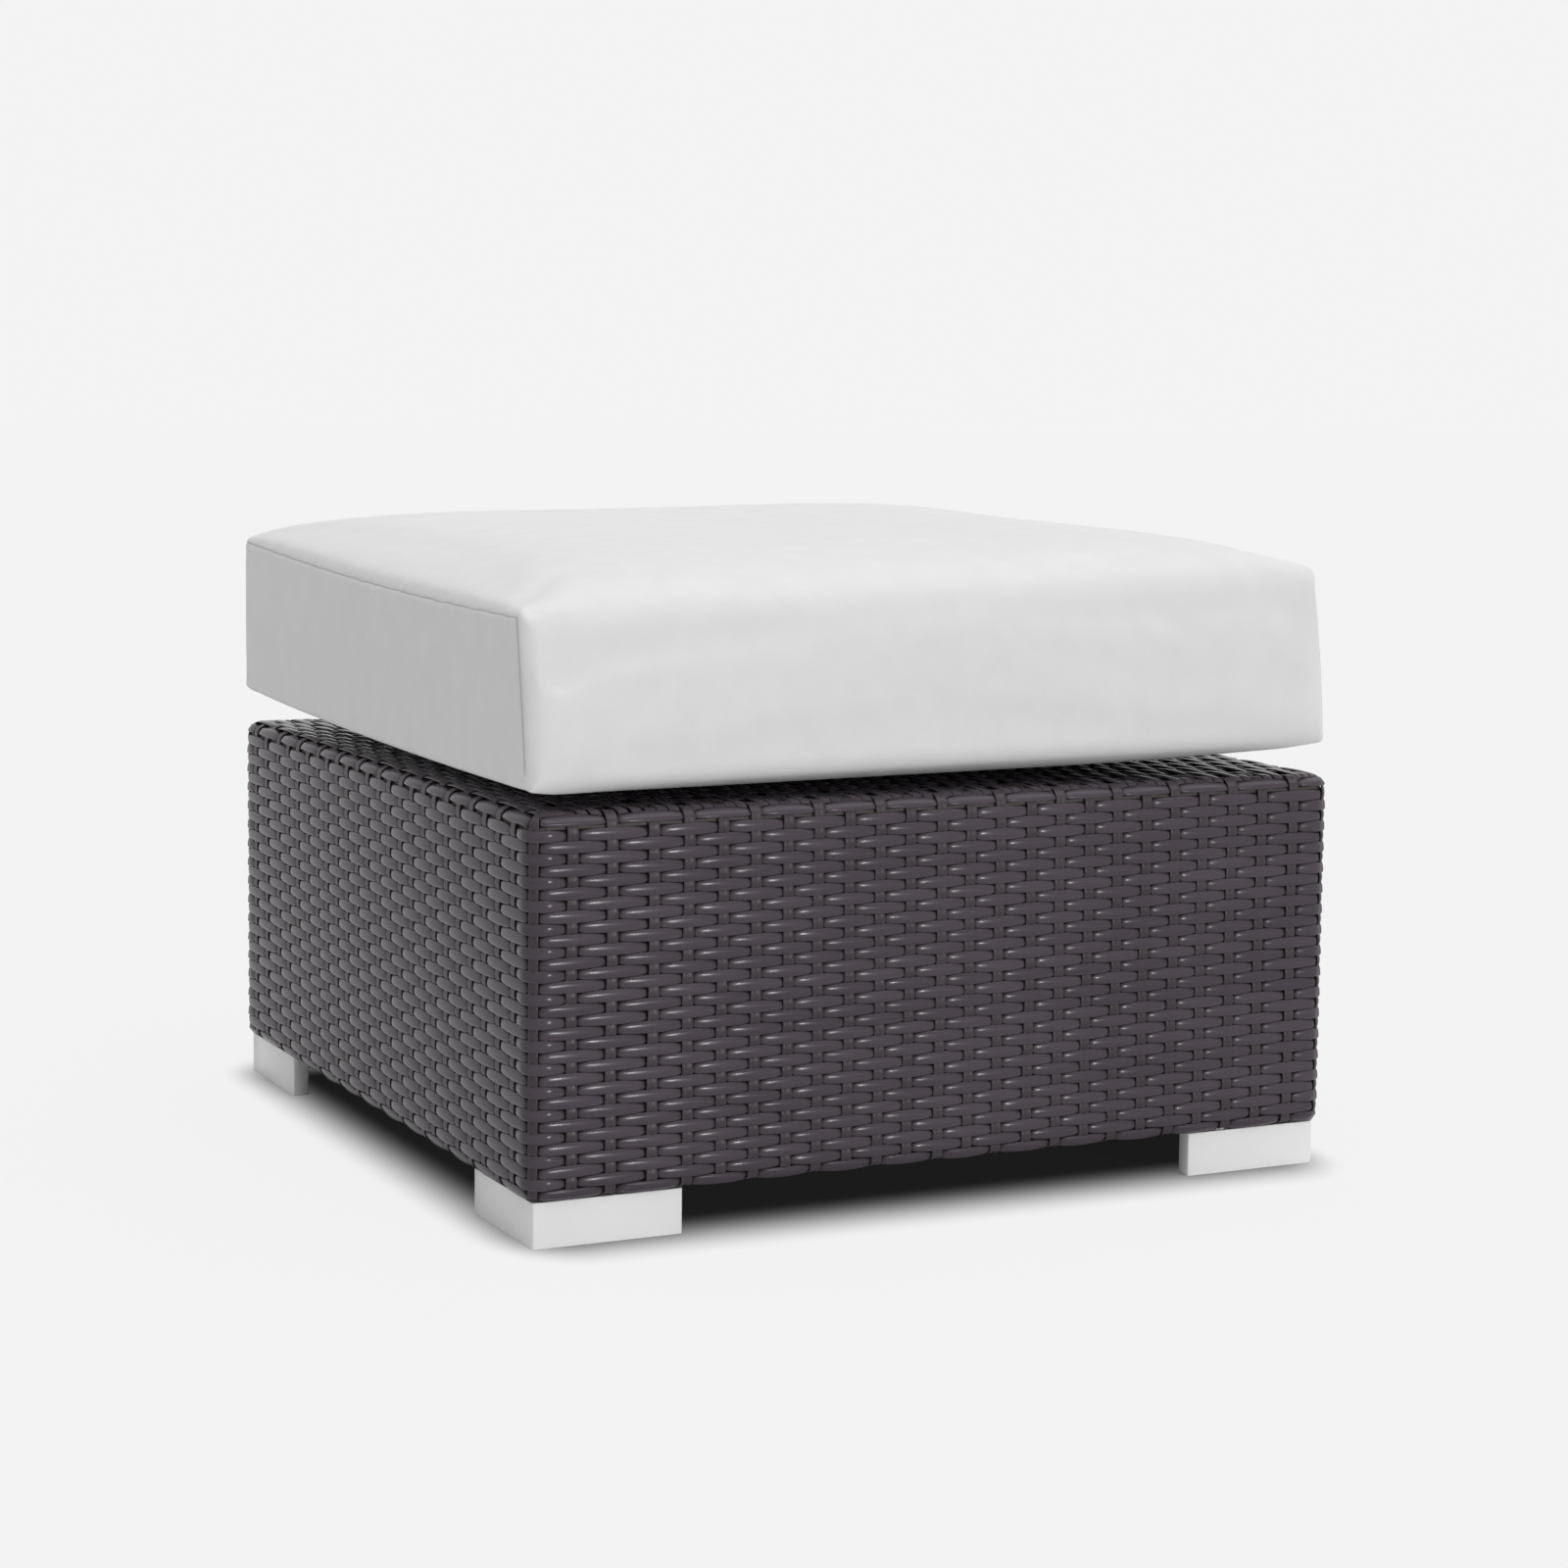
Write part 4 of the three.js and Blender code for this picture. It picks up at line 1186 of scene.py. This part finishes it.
@dataclass
class Cushion:
    """The loose box cushion: one panel wraps all the way round it, and a flat panel closes each end."""

    half: float = 0.349
    edge_height: float = 0.140
    middle_z: float = 0.4153
    deck_z: float = 0.3230
    corner_round: float = 0.012
    # By what share the back corners are sharper, and how fast they become so behind the sides' middle
    back_corner_cut: float = 0.6
    back_corner_gain: float = 4.0
    seam_round: float = 0.005
    fold_round_top: float = 0.018
    fold_round_bottom: float = 0.015
    fold_round_end: float = 0.004
    top_lift: float = 0.005
    top_crown: float = 0.036
    crown_power: float = 0.6
    edge_dip: float = 0.006
    top_near_sag: float = 0.022
    top_far_rise: float = 0.008
    base_rest: float = 0.022
    base_near_sag: float = 0.010
    base_back_rise: float = 0.003
    base_left_sag: float = 0.004
    base_front_rise: float = 0.003
    lean_right: float = 0.008
    lean_front: float = 0.009
    lean_near: float = 0.011
    lean_power: float = 1.3
    recess_floor_y: float = 0.3422
    recess_half_length: float = 0.2800
    recess_half_height: float = 0.013
    recess_margin: tuple[float, float] = (0.004, 0.0015)
    recess_slope: float = 0.003
    puff_limit: float = 0.0025
    puff_frames: int = 20
    puff_pressure: float = 4.0
    puff_quality: int = 5
    canvas_stiffness: float = 25.0
    canvas_bending: float = 1.5
    # How far up and down from the middle the zip holds the cover still, as a share of the half height
    zip_zone: float = 0.22
    # From which height, from -1 to 1, an end seam shows, and over how much more it comes out in full
    seam_from: float = -0.99
    seam_over: float = 0.2
    seam_depth: float = 0.0012
    seam_pucker: float = 0.0003
    # The puckers' two waves along the seam, how the second one slants up it, both in radians per metre, and
    # the second one's share
    pucker_waves: tuple[float, float] = (170.0, 97.0)
    pucker_slope: float = 300.0
    pucker_share: float = 0.7
    gather_reach: float = 0.014
    deck_gap: float = 0.0004
    foam_share: tuple[float, float, float] = (0.975, 0.975, 0.86)
    foam_back_y: float = 0.334
    # How many grid lines run over half the recess, over each rounded end or beside it, and half the depth
    recess_lines: int = 29
    end_lines: int = 7
    flat_lines: int = 33
    # Grid lines as shares of the half sizes: how far in from the ends along Y, and how far up along Z
    fold_lines: tuple[float, ...] = (0.055, 0.04, 0.026, 0.014, 0.006, 0.0)
    height_lines: tuple[float, ...] = (
        0.0, 0.08, 0.14, 0.165, 0.19, 0.215, 0.27, 0.37, 0.5, 0.63, 0.75, 0.84, 0.91, 0.96, 1.0,
    )  # fmt: skip
    cloth: WovenCloth = WovenCloth("solution_dyed_canvas", "#E6E6E6")
    foam: FoamCells = FoamCells("polyurethane_foam", "#EFE8D8")

    def lines_x(self) -> Array:
        """Grid lines along X, close together over the rounded ends, from -1 to 1."""
        turn = np.linspace(0.0, math.pi / 2, self.end_lines)
        end = (self.half - self.corner_round + self.corner_round * np.sin(turn)) / self.half
        recess = self.recess_half_length / self.half
        middle = np.linspace(0.0, recess, self.recess_lines)
        beside = np.linspace(recess, end[0], self.end_lines)[1:-1]
        half = np.concatenate([middle, beside, end])
        return np.concatenate([-half[:0:-1], half])

    def lines_y(self) -> Array:
        """Grid lines along Y, close together at the folds."""
        edge = 1.0 - np.array(self.fold_lines)
        inner = np.linspace(0.0, edge[0], self.flat_lines)
        half = np.concatenate([inner[:-1], edge])
        return np.concatenate([-half[:0:-1], half])

    def lines_z(self) -> Array:
        """Grid lines along Z, close together at the folds and at the edges of the zip's recess."""
        half = np.array(self.height_lines)
        return np.concatenate([-half[:0:-1], half])

    def faces(self) -> list[tuple[Array, Array, Array, Array]]:
        """The six sides of a unit box as grids of u, v, w, facing outwards, each with its map in metres."""
        us, vs, ws = self.lines_x(), self.lines_y(), self.lines_z()
        height = self.edge_height / 2
        made = []
        for sign in (1.0, -1.0):
            u, v = np.meshgrid(us, vs) if sign > 0 else np.meshgrid(us, vs, indexing="ij")
            made.append((u, v, np.full_like(u, sign), np.stack([u * self.half, v * self.half], -1)))
            w, u = np.meshgrid(ws, us) if sign > 0 else np.meshgrid(ws, us, indexing="ij")
            made.append((u, np.full_like(u, sign), w, np.stack([u * self.half, w * height], -1)))
            v, w = np.meshgrid(vs, ws) if sign > 0 else np.meshgrid(vs, ws, indexing="ij")
            made.append((np.full_like(v, sign), v, w, np.stack([v * self.half, w * height], -1)))
        return made

    def form(self, u: Array, v: Array, w: Array) -> Array:
        """The cushion's form before it is stuffed.

        Each slice across the wrap is a rounded rectangle: raw corners are pulled back to a circle round the
        core. Its depth shrinks in a quarter circle towards the ends, where the end panels fill it.

        Args:
            u: Share of the half width, -1 to 1.
            v: Share of the half depth.
            w: Share of the half height.

        Returns:
            The points.
        """
        x = self.half * u
        bend = np.clip((np.abs(x) - (self.half - self.corner_round)) / self.corner_round, 0.0, 1.0)
        nip = np.clip((np.abs(x) - (self.half - self.seam_round)) / self.seam_round, 0.0, 1.0)
        cut = self.back_corner_cut * np.minimum(self.back_corner_gain * np.abs(v), 1.0)
        corner = self.corner_round * np.where(v > 0, 1 - cut, 1.0)
        deep = self.half - corner * (1 - np.sqrt(1 - bend**2))
        tall = self.edge_height / 2 - self.seam_round * (1 - np.sqrt(1 - nip**2))
        fold = np.where(w > 0, self.fold_round_top, self.fold_round_bottom)
        fold = fold + (self.fold_round_end - fold) * bend**2
        reach = np.maximum(np.maximum(np.abs(v), np.abs(w)), 1e-9)
        raw_y, raw_z = deep * v / reach, tall * w / reach
        kept_y = np.clip(raw_y, -(deep - fold), deep - fold)
        kept_z = np.clip(raw_z, -(tall - fold), tall - fold)
        off_y, off_z = raw_y - kept_y, raw_z - kept_z
        size = np.maximum(np.hypot(off_y, off_z), 1e-12)
        y = reach * (kept_y + off_y / size * fold)
        z = reach * (kept_z + off_z / size * fold)
        return self.stuffed(np.stack([x, y, z], axis=-1))

    def stuffed(self, points: Array) -> Array:
        """Crowns the form above, rests it on its middle below, and leans its top back and its near corner in.

        With px and py from -1 to 1 over the plan, near is (1 - px)(1 - py) / 4 and far (1 + px)(1 + py) / 4,
        which are 1 in one corner and 0 in the others. The pillow is (1 - px^4)(1 - py^4): to a power under 1
        it crowns the top, and it takes the underside from its edge's height to the deck. The top leans by its
        height to a power over 1.

        Args:
            points: The form's points, with its middle at the origin.

        Returns:
            The points in place.
        """
        x, y, z = points[..., 0], points[..., 1], points[..., 2]
        px, py = np.clip(x / self.half, -1.0, 1.0), np.clip(y / self.half, -1.0, 1.0)
        near, far = (1 - px) * (1 - py) / 4, (1 + px) * (1 + py) / 4
        pillow = np.maximum((1 - px**4) * (1 - py**4), 0.0)
        crown = self.top_crown * pillow**self.crown_power
        above = self.top_lift - self.edge_dip * (2 - px**2 - py**2) + crown
        above = above + self.top_far_rise * far - self.top_near_sag * near
        edge = self.base_back_rise * (1 + py) / 2 - self.base_near_sag * near
        edge = edge - self.base_left_sag * (1 - py**2) * (1 - px) / 2
        edge = edge + self.base_front_rise * (1 - px**2) * (1 - py) / 2
        below = edge + (-self.base_rest - edge) * pillow
        height = np.clip((z / (self.edge_height / 2) + 1) / 2, 0.0, 1.0)
        high = height**self.lean_power
        lean_y = self.lean_front * (1 - py) / 2 + self.lean_near * near**2
        return np.stack(
            [
                x - self.lean_right * (1 + px) / 2 * high,
                y + lean_y * high,
                self.middle_z + z + below + (above - below) * height,
            ],
            axis=-1,
        )

    def grid(self) -> tuple[Array, Array, Array, Array]:
        """Welds the six sides into one closed grid.

        Returns:
            The unit places, the quads, the map of each face corner and which points lie on an end seam.
        """
        places, quads, uv, count = [], [], [], 0
        for u, v, w, flat in self.faces():
            rows, cols = u.shape
            ids = np.arange(rows * cols).reshape(rows, cols) + count
            corners = [ids[:-1, :-1], ids[:-1, 1:], ids[1:, 1:], ids[1:, :-1]]
            maps = [flat[:-1, :-1], flat[:-1, 1:], flat[1:, 1:], flat[1:, :-1]]
            quads.append(np.stack(corners, -1).reshape(-1, 4))
            uv.append(np.stack(maps, -2).reshape(-1, 2))
            places.append(np.stack([u, v, w], -1).reshape(-1, 3))
            count += rows * cols
        raw = np.concatenate(places)
        whole = np.round(raw * 1e6).astype(np.int64)
        _, first, inverse = np.unique(whole, axis=0, return_index=True, return_inverse=True)
        unit = raw[first]
        onto_edge = np.maximum(np.abs(unit[:, 1]), np.abs(unit[:, 2])) > ON_FACE
        seam = (np.abs(unit[:, 0]) > ON_FACE) & onto_edge
        return unit, inverse.reshape(-1)[np.concatenate(quads)], np.concatenate(uv), seam

    def puffed(self, piece: bpy.types.Object, rest: Array, held: Array) -> Array:
        """Blows the cover up as cloth with its seams held, and caps how far each point moves.

        Args:
            piece: The cover.
            rest: Its points before.
            held: Which points the seams and the zip hold.

        Returns:
            The points after.
        """
        group = piece.vertex_groups.new(name="held")
        group.add(np.flatnonzero(held).tolist(), 1.0, "REPLACE")
        cloth = piece.modifiers.new("stuffing", "CLOTH")
        cloth.settings.use_pressure = True
        cloth.settings.uniform_pressure_force = self.puff_pressure
        cloth.settings.effector_weights.gravity = 0.0
        cloth.settings.vertex_group_mass = "held"
        cloth.settings.tension_stiffness = self.canvas_stiffness
        cloth.settings.compression_stiffness = self.canvas_stiffness
        cloth.settings.bending_stiffness = self.canvas_bending
        cloth.settings.quality = self.puff_quality
        cloth.point_cache.frame_start, cloth.point_cache.frame_end = 1, self.puff_frames
        scene = bpy.context.scene
        for step in range(1, self.puff_frames + 1):
            scene.frame_set(step)
        graph = bpy.context.evaluated_depsgraph_get()
        blown = piece.evaluated_get(graph).to_mesh()
        moved = np.empty(len(rest) * 3, np.float32)
        blown.vertices.foreach_get("co", moved)
        piece.modifiers.remove(cloth)
        piece.vertex_groups.clear()
        scene.frame_set(1)
        move = moved.reshape(-1, 3) - rest
        size = np.maximum(np.linalg.norm(move, axis=1, keepdims=True), 1e-9)
        LOG.info("stuffing moves the cover by up to %.1f mm", 1000 * float(size.max()))
        return rest + move / size * (self.puff_limit * np.tanh(size / self.puff_limit))

    def build(self) -> None:
        """Makes the cover, its seams and the foam inside it."""
        cloth = self.cloth.material()
        unit, quads, uv, seam = self.grid()
        rest = self.form(unit[:, 0], unit[:, 1], unit[:, 2])
        drawn = seam * smooth_step((unit[:, 2] - self.seam_from) / self.seam_over)
        marks = {"seam": drawn, "gather": self.gathers(unit)}
        piece = quad_object("cushion_cover_canvas", rest, quads, cloth, uv, marks)
        zip_zone = (unit[:, 1] > ON_FACE) & (np.abs(unit[:, 2]) < self.zip_zone)
        rest = self.puffed(piece, rest, seam | zip_zone)
        rest = self.finished(rest, unit, drawn)
        piece.data.vertices.foreach_set("co", rest.astype(np.float32).ravel())
        piece.data.update()
        finer = piece.modifiers.new("finer", "SUBSURF")
        finer.levels = finer.render_levels = 1
        settle(piece, "cushion", "cushion_fabric", "cushion_cover")
        self.build_foam(unit, quads, uv)

    def gathers(self, unit: Array) -> Array:
        """How near each point lies to an end seam: e to minus its distance over the gathers' reach.

        Args:
            unit: Places on the unit box.

        Returns:
            A share per point.
        """
        to_faces = (1 - np.abs(unit)) * np.array([self.half, self.half, self.edge_height / 2])
        to_seam = np.maximum(to_faces[:, 0], np.minimum(to_faces[:, 1], to_faces[:, 2]))
        return np.exp(-to_seam / self.gather_reach)

    def finished(self, points: Array, unit: Array, seam: Array) -> Array:
        """Draws the seams in with small puckers, keeps the cover off the deck and sinks the zip's recess.

        Args:
            points: The cover's points.
            unit: Their places on the unit box.
            seam: How much of an end seam shows at each point, from 0 to 1.

        Returns:
            The points.
        """
        made = points.copy()
        inward = -np.sign(unit) * (np.abs(unit) > ON_FACE)
        made += seam[:, None] * self.seam_depth * inward
        y, z = points[:, 1], points[:, 2]
        slanted = np.sin(self.pucker_waves[1] * y + self.pucker_slope * z)
        pucker = np.sin(self.pucker_waves[0] * y) + self.pucker_share * slanted
        made[:, 2] += self.seam_pucker * pucker * self.gathers(unit) * (unit[:, 2] > 0.5)
        made[:, 2] = np.maximum(made[:, 2], self.deck_z + self.deck_gap)
        inside_x = self.recess_half_length + self.recess_margin[0] - np.abs(made[:, 0])
        inside_z = self.recess_half_height + self.recess_margin[1] - np.abs(made[:, 2] - self.middle_z)
        inside = smooth_step(inside_x / self.recess_slope) * smooth_step(inside_z / self.recess_slope)
        share = np.where(unit[:, 1] > ON_FACE, inside, 0.0)
        made[:, 1] += share * (self.recess_floor_y - made[:, 1])
        return made

    def build_foam(self, unit: Array, quads: Array, uv: Array) -> None:
        """Makes the foam block: the cover's form, some 8 mm smaller all round and cut back behind the zip.

        Args:
            unit: Places on the unit box.
            quads: The cover's quads.
            uv: The cover's map.
        """
        core = self.form(*(unit * self.foam_share).T)
        core[:, 1] = np.minimum(core[:, 1], self.foam_back_y)
        foam = quad_object("cushion_foam_block", core, quads, self.foam.material(), uv)
        settle(foam, "cushion", "cushion_foam", "cushion_foam")


# Studio


@dataclass
class Studio:
    """The plain pale room: floor, light and the camera at the photograph's place."""

    background: str = "#F3F3F3"
    camera_place: tuple[float, float, float] = (-1.2328, -2.5598, 0.6422)
    yaw_degrees: float = 26.167
    pitch_degrees: float = 5.739
    roll_degrees: float = 0.668
    focal_pixels: float = 3392.2
    sensor_millimetres: float = 36.0
    seen_between: tuple[float, float] = (0.05, 100.0)
    frame_pixels: float = 1600.0
    shift_pixels: float = -80.0
    paper: str = "#E9E9E9"
    sky: float = 0.27
    box_half: float = 0.350
    # The floor's painted shade: the contact's reach and power, and the square's inset, width, least and power
    contact_reach: float = 0.03
    contact_power: float = 0.25
    shade_inside: tuple[float, float] = (0.046, 0.060)
    shade_width: tuple[float, float] = (0.080, 0.118)
    shade_least: float = 0.045
    shade_power: float = 1.45
    glow_share: float = 0.96
    floor_reach: float = 30.0
    lamp_distance: float = 3.0
    # Each lamp's name, strength, spread, azimuth and elevation, as build_lamp takes them
    lamps: tuple[tuple[str, float, float, float, float], ...] = (
        ("glint_window", 0.62, 4.0, 16.0, 7.0),
        ("rim_strip", 0.16, 8.0, 20.0, 56.0),
        ("top_bank", 2.2, 80.0, 86.0, 80.0),
    )

    def build(self) -> None:
        """Makes the floor, the sky, the lamps and the camera."""
        scene = bpy.context.scene
        scene.view_settings.view_transform = "Standard"
        self.build_floor()
        self.build_sky()
        for lamp in self.lamps:
            self.build_lamp(*lamp)
        self.build_camera()

    def build_floor(self) -> None:
        """Makes the pale floor: white paper, which the camera and mirrors see lit from below.

        Its glow is the backdrop's colour times a painted contact shadow under the box: a square with
        soft edges, black well inside the box's outline and gone a little outside it, softer at the front and
        back than at the sides. It is dimmed further, as painted shade, by the share of the sky that is hidden
        close to the feet.
        The rest is the paper's own diffuse light, with every lamp's shadow in it.
        """
        material = bpy.data.materials.new("lit_studio_paper")
        nodes = Nodes(material)
        # Painted contact shadow: the glow fades over a soft square under the box
        core = (self.box_half - self.shade_inside[0], self.box_half - self.shade_inside[1], 0.0)
        beyond = nodes.add("VectorMath", {"operation": "ABSOLUTE", 0: nodes.object_places()})
        for operation, value in (
            ("SUBTRACT", core),
            ("DIVIDE", (*self.shade_width, 1.0)),
            ("MAXIMUM", (0.0, 0.0, 0.0)),
        ):
            beyond = nodes.add("VectorMath", {"operation": operation, 0: beyond, 1: value})
        distance = nodes.add("VectorMath", {"operation": "LENGTH", 0: beyond}, "Value")
        shade = nodes.add(
            "MapRange",
            {"interpolation_type": "SMOOTHSTEP", "To Min": self.shade_least, "Value": distance},
        )
        # Painted shade: the glow dims further where the sky is hidden close to the feet
        contact = nodes.add("AmbientOcclusion", {"samples": 8, "Distance": self.contact_reach}, "AO")
        shares = [
            nodes.maths("POWER", shade, self.shade_power),
            nodes.maths("POWER", contact, self.contact_power),
        ]
        open_share = nodes.maths("MULTIPLY", *shares)
        glow = nodes.add("Emission", {"Color": srgb(self.background), "Strength": open_share})
        paper = nodes.add(
            "BsdfPrincipled",
            {"Base Color": srgb(self.paper), "Roughness": 1.0, "Specular IOR Level": 0.0},
        )
        share = nodes.maths("MULTIPLY", self.seen_directly(nodes), self.glow_share)
        nodes.close("Material", nodes.add("MixShader", {0: share, 1: paper, 2: glow}))
        corners = self.floor_reach * np.array([[-1, -1, 0], [1, -1, 0], [1, 1, 0], [-1, 1, 0]], float)
        floor = quad_object("floor", corners, np.array([[0, 1, 2, 3]]), material, smooth=False)

    def seen_directly(self, nodes: Nodes) -> Socket:
        """One for a ray from the camera, a mirror or a clear thing, and none for the light itself.

        Args:
            nodes: The material's or the world's tree.

        Returns:
            The output that holds it.
        """
        ray = nodes.tree.nodes.new("ShaderNodeLightPath").outputs
        seen = nodes.maths("MAXIMUM", ray["Is Camera Ray"], ray["Is Glossy Ray"])
        return nodes.maths("MAXIMUM", seen, ray["Is Transmission Ray"])

    def build_sky(self) -> None:
        """Makes an even sky that the camera and mirrors see as the backdrop's colour."""
        world = bpy.data.worlds.new("studio_sky")
        bpy.context.scene.world = world
        nodes = Nodes(world)
        light = (self.sky, self.sky, self.sky, 1.0)
        colour = nodes.blend(self.seen_directly(nodes), light, srgb(self.background))
        nodes.close("World", nodes.add("Background", {"Strength": 1.0, "Color": colour}))

    def build_lamp(self, name: str, strength: float, spread: float, azimuth: float, elevation: float) -> None:
        """Hangs a far lamp.

        Args:
            name: The lamp's name.
            strength: Its strength in watts per square metre.
            spread: How wide it looks, in degrees.
            azimuth: Its place, in degrees from the front towards the right.
            elevation: Its height, in degrees above the floor.
        """
        lamp = bpy.data.lights.new(name, "SUN")
        lamp.energy, lamp.angle = strength, math.radians(spread)
        holder = bpy.data.objects.new(name, lamp)
        a, e = math.radians(azimuth), math.radians(elevation)
        towards = Vector((math.sin(a) * math.cos(e), -math.cos(a) * math.cos(e), math.sin(e)))
        holder.rotation_euler = towards.to_track_quat("Z", "Y").to_euler()
        holder.location = self.lamp_distance * towards
        bpy.context.scene.collection.objects.link(holder)

    def build_camera(self) -> None:
        """Puts the camera where the photograph was taken from."""
        turns = (self.yaw_degrees, self.pitch_degrees, self.roll_degrees)
        yaw, pitch, roll = (math.radians(degrees) for degrees in turns)
        ahead = Vector((math.sin(yaw) * math.cos(pitch), math.cos(yaw) * math.cos(pitch), -math.sin(pitch)))
        level = Vector((math.cos(yaw), -math.sin(yaw), 0.0))
        upright = level.cross(ahead)
        right = math.cos(roll) * level + math.sin(roll) * upright
        up = -math.sin(roll) * level + math.cos(roll) * upright
        data = bpy.data.cameras.new("camera")
        data.sensor_width = self.sensor_millimetres
        data.lens = data.sensor_width * self.focal_pixels / self.frame_pixels
        data.shift_y = self.shift_pixels / self.frame_pixels
        data.clip_start, data.clip_end = self.seen_between
        camera = bpy.data.objects.new("camera", data)
        axes = Matrix((right, up, -ahead)).transposed().to_4x4()
        camera.matrix_world = Matrix.Translation(Vector(self.camera_place)) @ axes
        bpy.context.scene.collection.objects.link(camera)
        bpy.context.scene.camera = camera


# Zip


@dataclass
class Zip:
    """The zip in the back of the cushion: two woven tapes, a coil chain, slider and pull."""

    middle_z: float = 0.4153
    half_length: float = 0.280
    tape_front: float = 0.3429
    tape_thickness: float = 0.0006
    tape_inner: float = 0.0004
    tape_outer: float = 0.0120
    coil_pitch: float = 0.0017
    coil_reach: float = 0.0027
    coil_radius: float = 0.00068
    bead_flatness: float = 0.62
    coil_overlap: float = 0.0006
    coil_end: float = 0.003
    stitch_pitch: float = 0.0032
    stitch_radius: float = 0.00022
    stitch_map_radius: float = 0.0002
    stitch_place: float = 0.0092
    stitch_end: float = 0.004
    tape_steps: int = 57
    bead_sides: int = 6
    stitch_sides: int = 4
    casting_bevel: float = 0.00018
    casting_crease: float = 30.0
    casting_bevel_from: float = 50.0
    # A bead's places from its outer to its inner end, and how fat it is there; the same for a stitch
    bead_places: tuple[float, ...] = (0.0, 0.12, 0.4, 0.75, 1.0)
    bead_fat: tuple[float, ...] = (0.55, 0.9, 0.82, 1.0, 0.6)
    stitch_places: tuple[float, ...] = (-0.4, -0.2, 0.2, 0.4)
    stitch_fat: tuple[float, ...] = (0.3, 1.0, 1.0, 0.3)
    tape: WovenCloth = WovenCloth("zip_tape_weave", "#D8D8D6", thread_spacing=0.0012, sheen=0.1)
    coil: SatinMoulding = SatinMoulding("polyester_coil", "#CFCFCD", roughness=0.32)
    thread: SatinMoulding = SatinMoulding("polyester_thread", "#E4E4E2", roughness=0.5)
    metal: PlatedMetal = PlatedMetal("nickel_plated_zinc", "#C3C1BC", roughness=0.26)

    def build(self) -> None:
        """Makes the tapes, the chain and their stitching, and eases the edges of the slider and the pull."""
        settle(self.tapes(), "cushion", "zip_tape", "zip_tape")
        settle(self.chain(), "cushion", "zip_tape", "zip_tape")
        settle(self.stitching(), "cushion", "zip_tape", "zip_tape")
        metal = self.metal.material()
        for node, body in (("zip_slider", "slider"), ("zip_pull", "pull")):
            piece = merged_copy(node, f"{node}_casting", metal, self.casting_crease)
            ease_edges(piece, self.casting_bevel, self.casting_bevel_from)
            settle(piece, body, "zip_metal", node)

    @property
    def tape_back(self) -> float:
        """How far back the tapes' outer face lies."""
        return self.tape_front + self.tape_thickness

    def tapes(self) -> bpy.types.Object:
        """The two tapes: flat strips from the chain's middle out to where they are sewn in."""
        batch = StrandBatch()
        x = np.linspace(-self.half_length, self.half_length, self.tape_steps)[None, :, None]
        z = np.array([self.tape_inner, self.tape_outer / 3, 2 * self.tape_outer / 3, self.tape_outer])
        ring_z = np.concatenate([z, z[::-1]])
        ring_y = np.repeat([self.tape_back, self.tape_front], len(z))
        for sign in (1.0, -1.0):
            batch.add(point_grid(x, ring_y, self.middle_z + sign * ring_z), x, ring_z, 0.5, 0.0)
        return batch.build("zip_tapes", self.tape.material())

    def chain(self) -> bpy.types.Object:
        """The closed coil: beads that reach in from either side by turns, each a spindle of six sides."""
        batch = StrandBatch()
        share = np.array(self.bead_places)[:, None]
        fat = self.coil_radius * np.array(self.bead_fat)[:, None]
        turn = np.arange(self.bead_sides) * 2 * math.pi / self.bead_sides
        count = int(2 * (self.half_length - self.coil_end) / self.coil_pitch)
        for sign in (1.0, -1.0):
            x = (np.arange(count) - (count - 1) / 2 + 0.25 * sign) * self.coil_pitch
            z = self.middle_z + sign * (self.coil_reach - share * (self.coil_reach + self.coil_overlap))
            spot = x[:, None, None] + fat * np.cos(turn) * self.bead_flatness
            y = self.tape_back + self.coil_radius + fat * np.sin(turn)
            batch.add(point_grid(spot, y, z), z, turn * self.coil_radius, 0.5, 0.0)
        return batch.build("zip_coil_chain", self.coil.material())

    def stitching(self) -> bpy.types.Object:
        """Two rows of stitches that sew the tapes in: short spindles, each four fifths of its step long."""
        batch = StrandBatch()
        share = np.array(self.stitch_places)[:, None]
        fat = self.stitch_radius * np.array(self.stitch_fat)[:, None]
        turn = np.arange(self.stitch_sides) * 2 * math.pi / self.stitch_sides
        count = int(2 * (self.half_length - self.stitch_end) / self.stitch_pitch)
        start = (np.arange(count) - (count - 1) / 2) * self.stitch_pitch
        x = start[:, None, None] + share * self.stitch_pitch
        y = self.tape_back + fat * np.cos(turn)
        for z in (self.stitch_place, -self.stitch_place):
            up = self.middle_z + z + fat * np.sin(turn)
            batch.add(point_grid(x, y, up), x, turn * self.stitch_map_radius, 0.5, 0.0)
        return batch.build("zip_stitching", self.thread.material())


def main() -> None:
    """Builds the studio and every piece of the ottoman, in order."""
    logging.basicConfig(level=logging.INFO, format="%(name)s: %(message)s")
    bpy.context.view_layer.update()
    Studio().build()
    WovenShell().build()
    FrameAndFeet().build()
    Cushion().build()
    Zip().build()


if __name__ == "__main__":
    main()
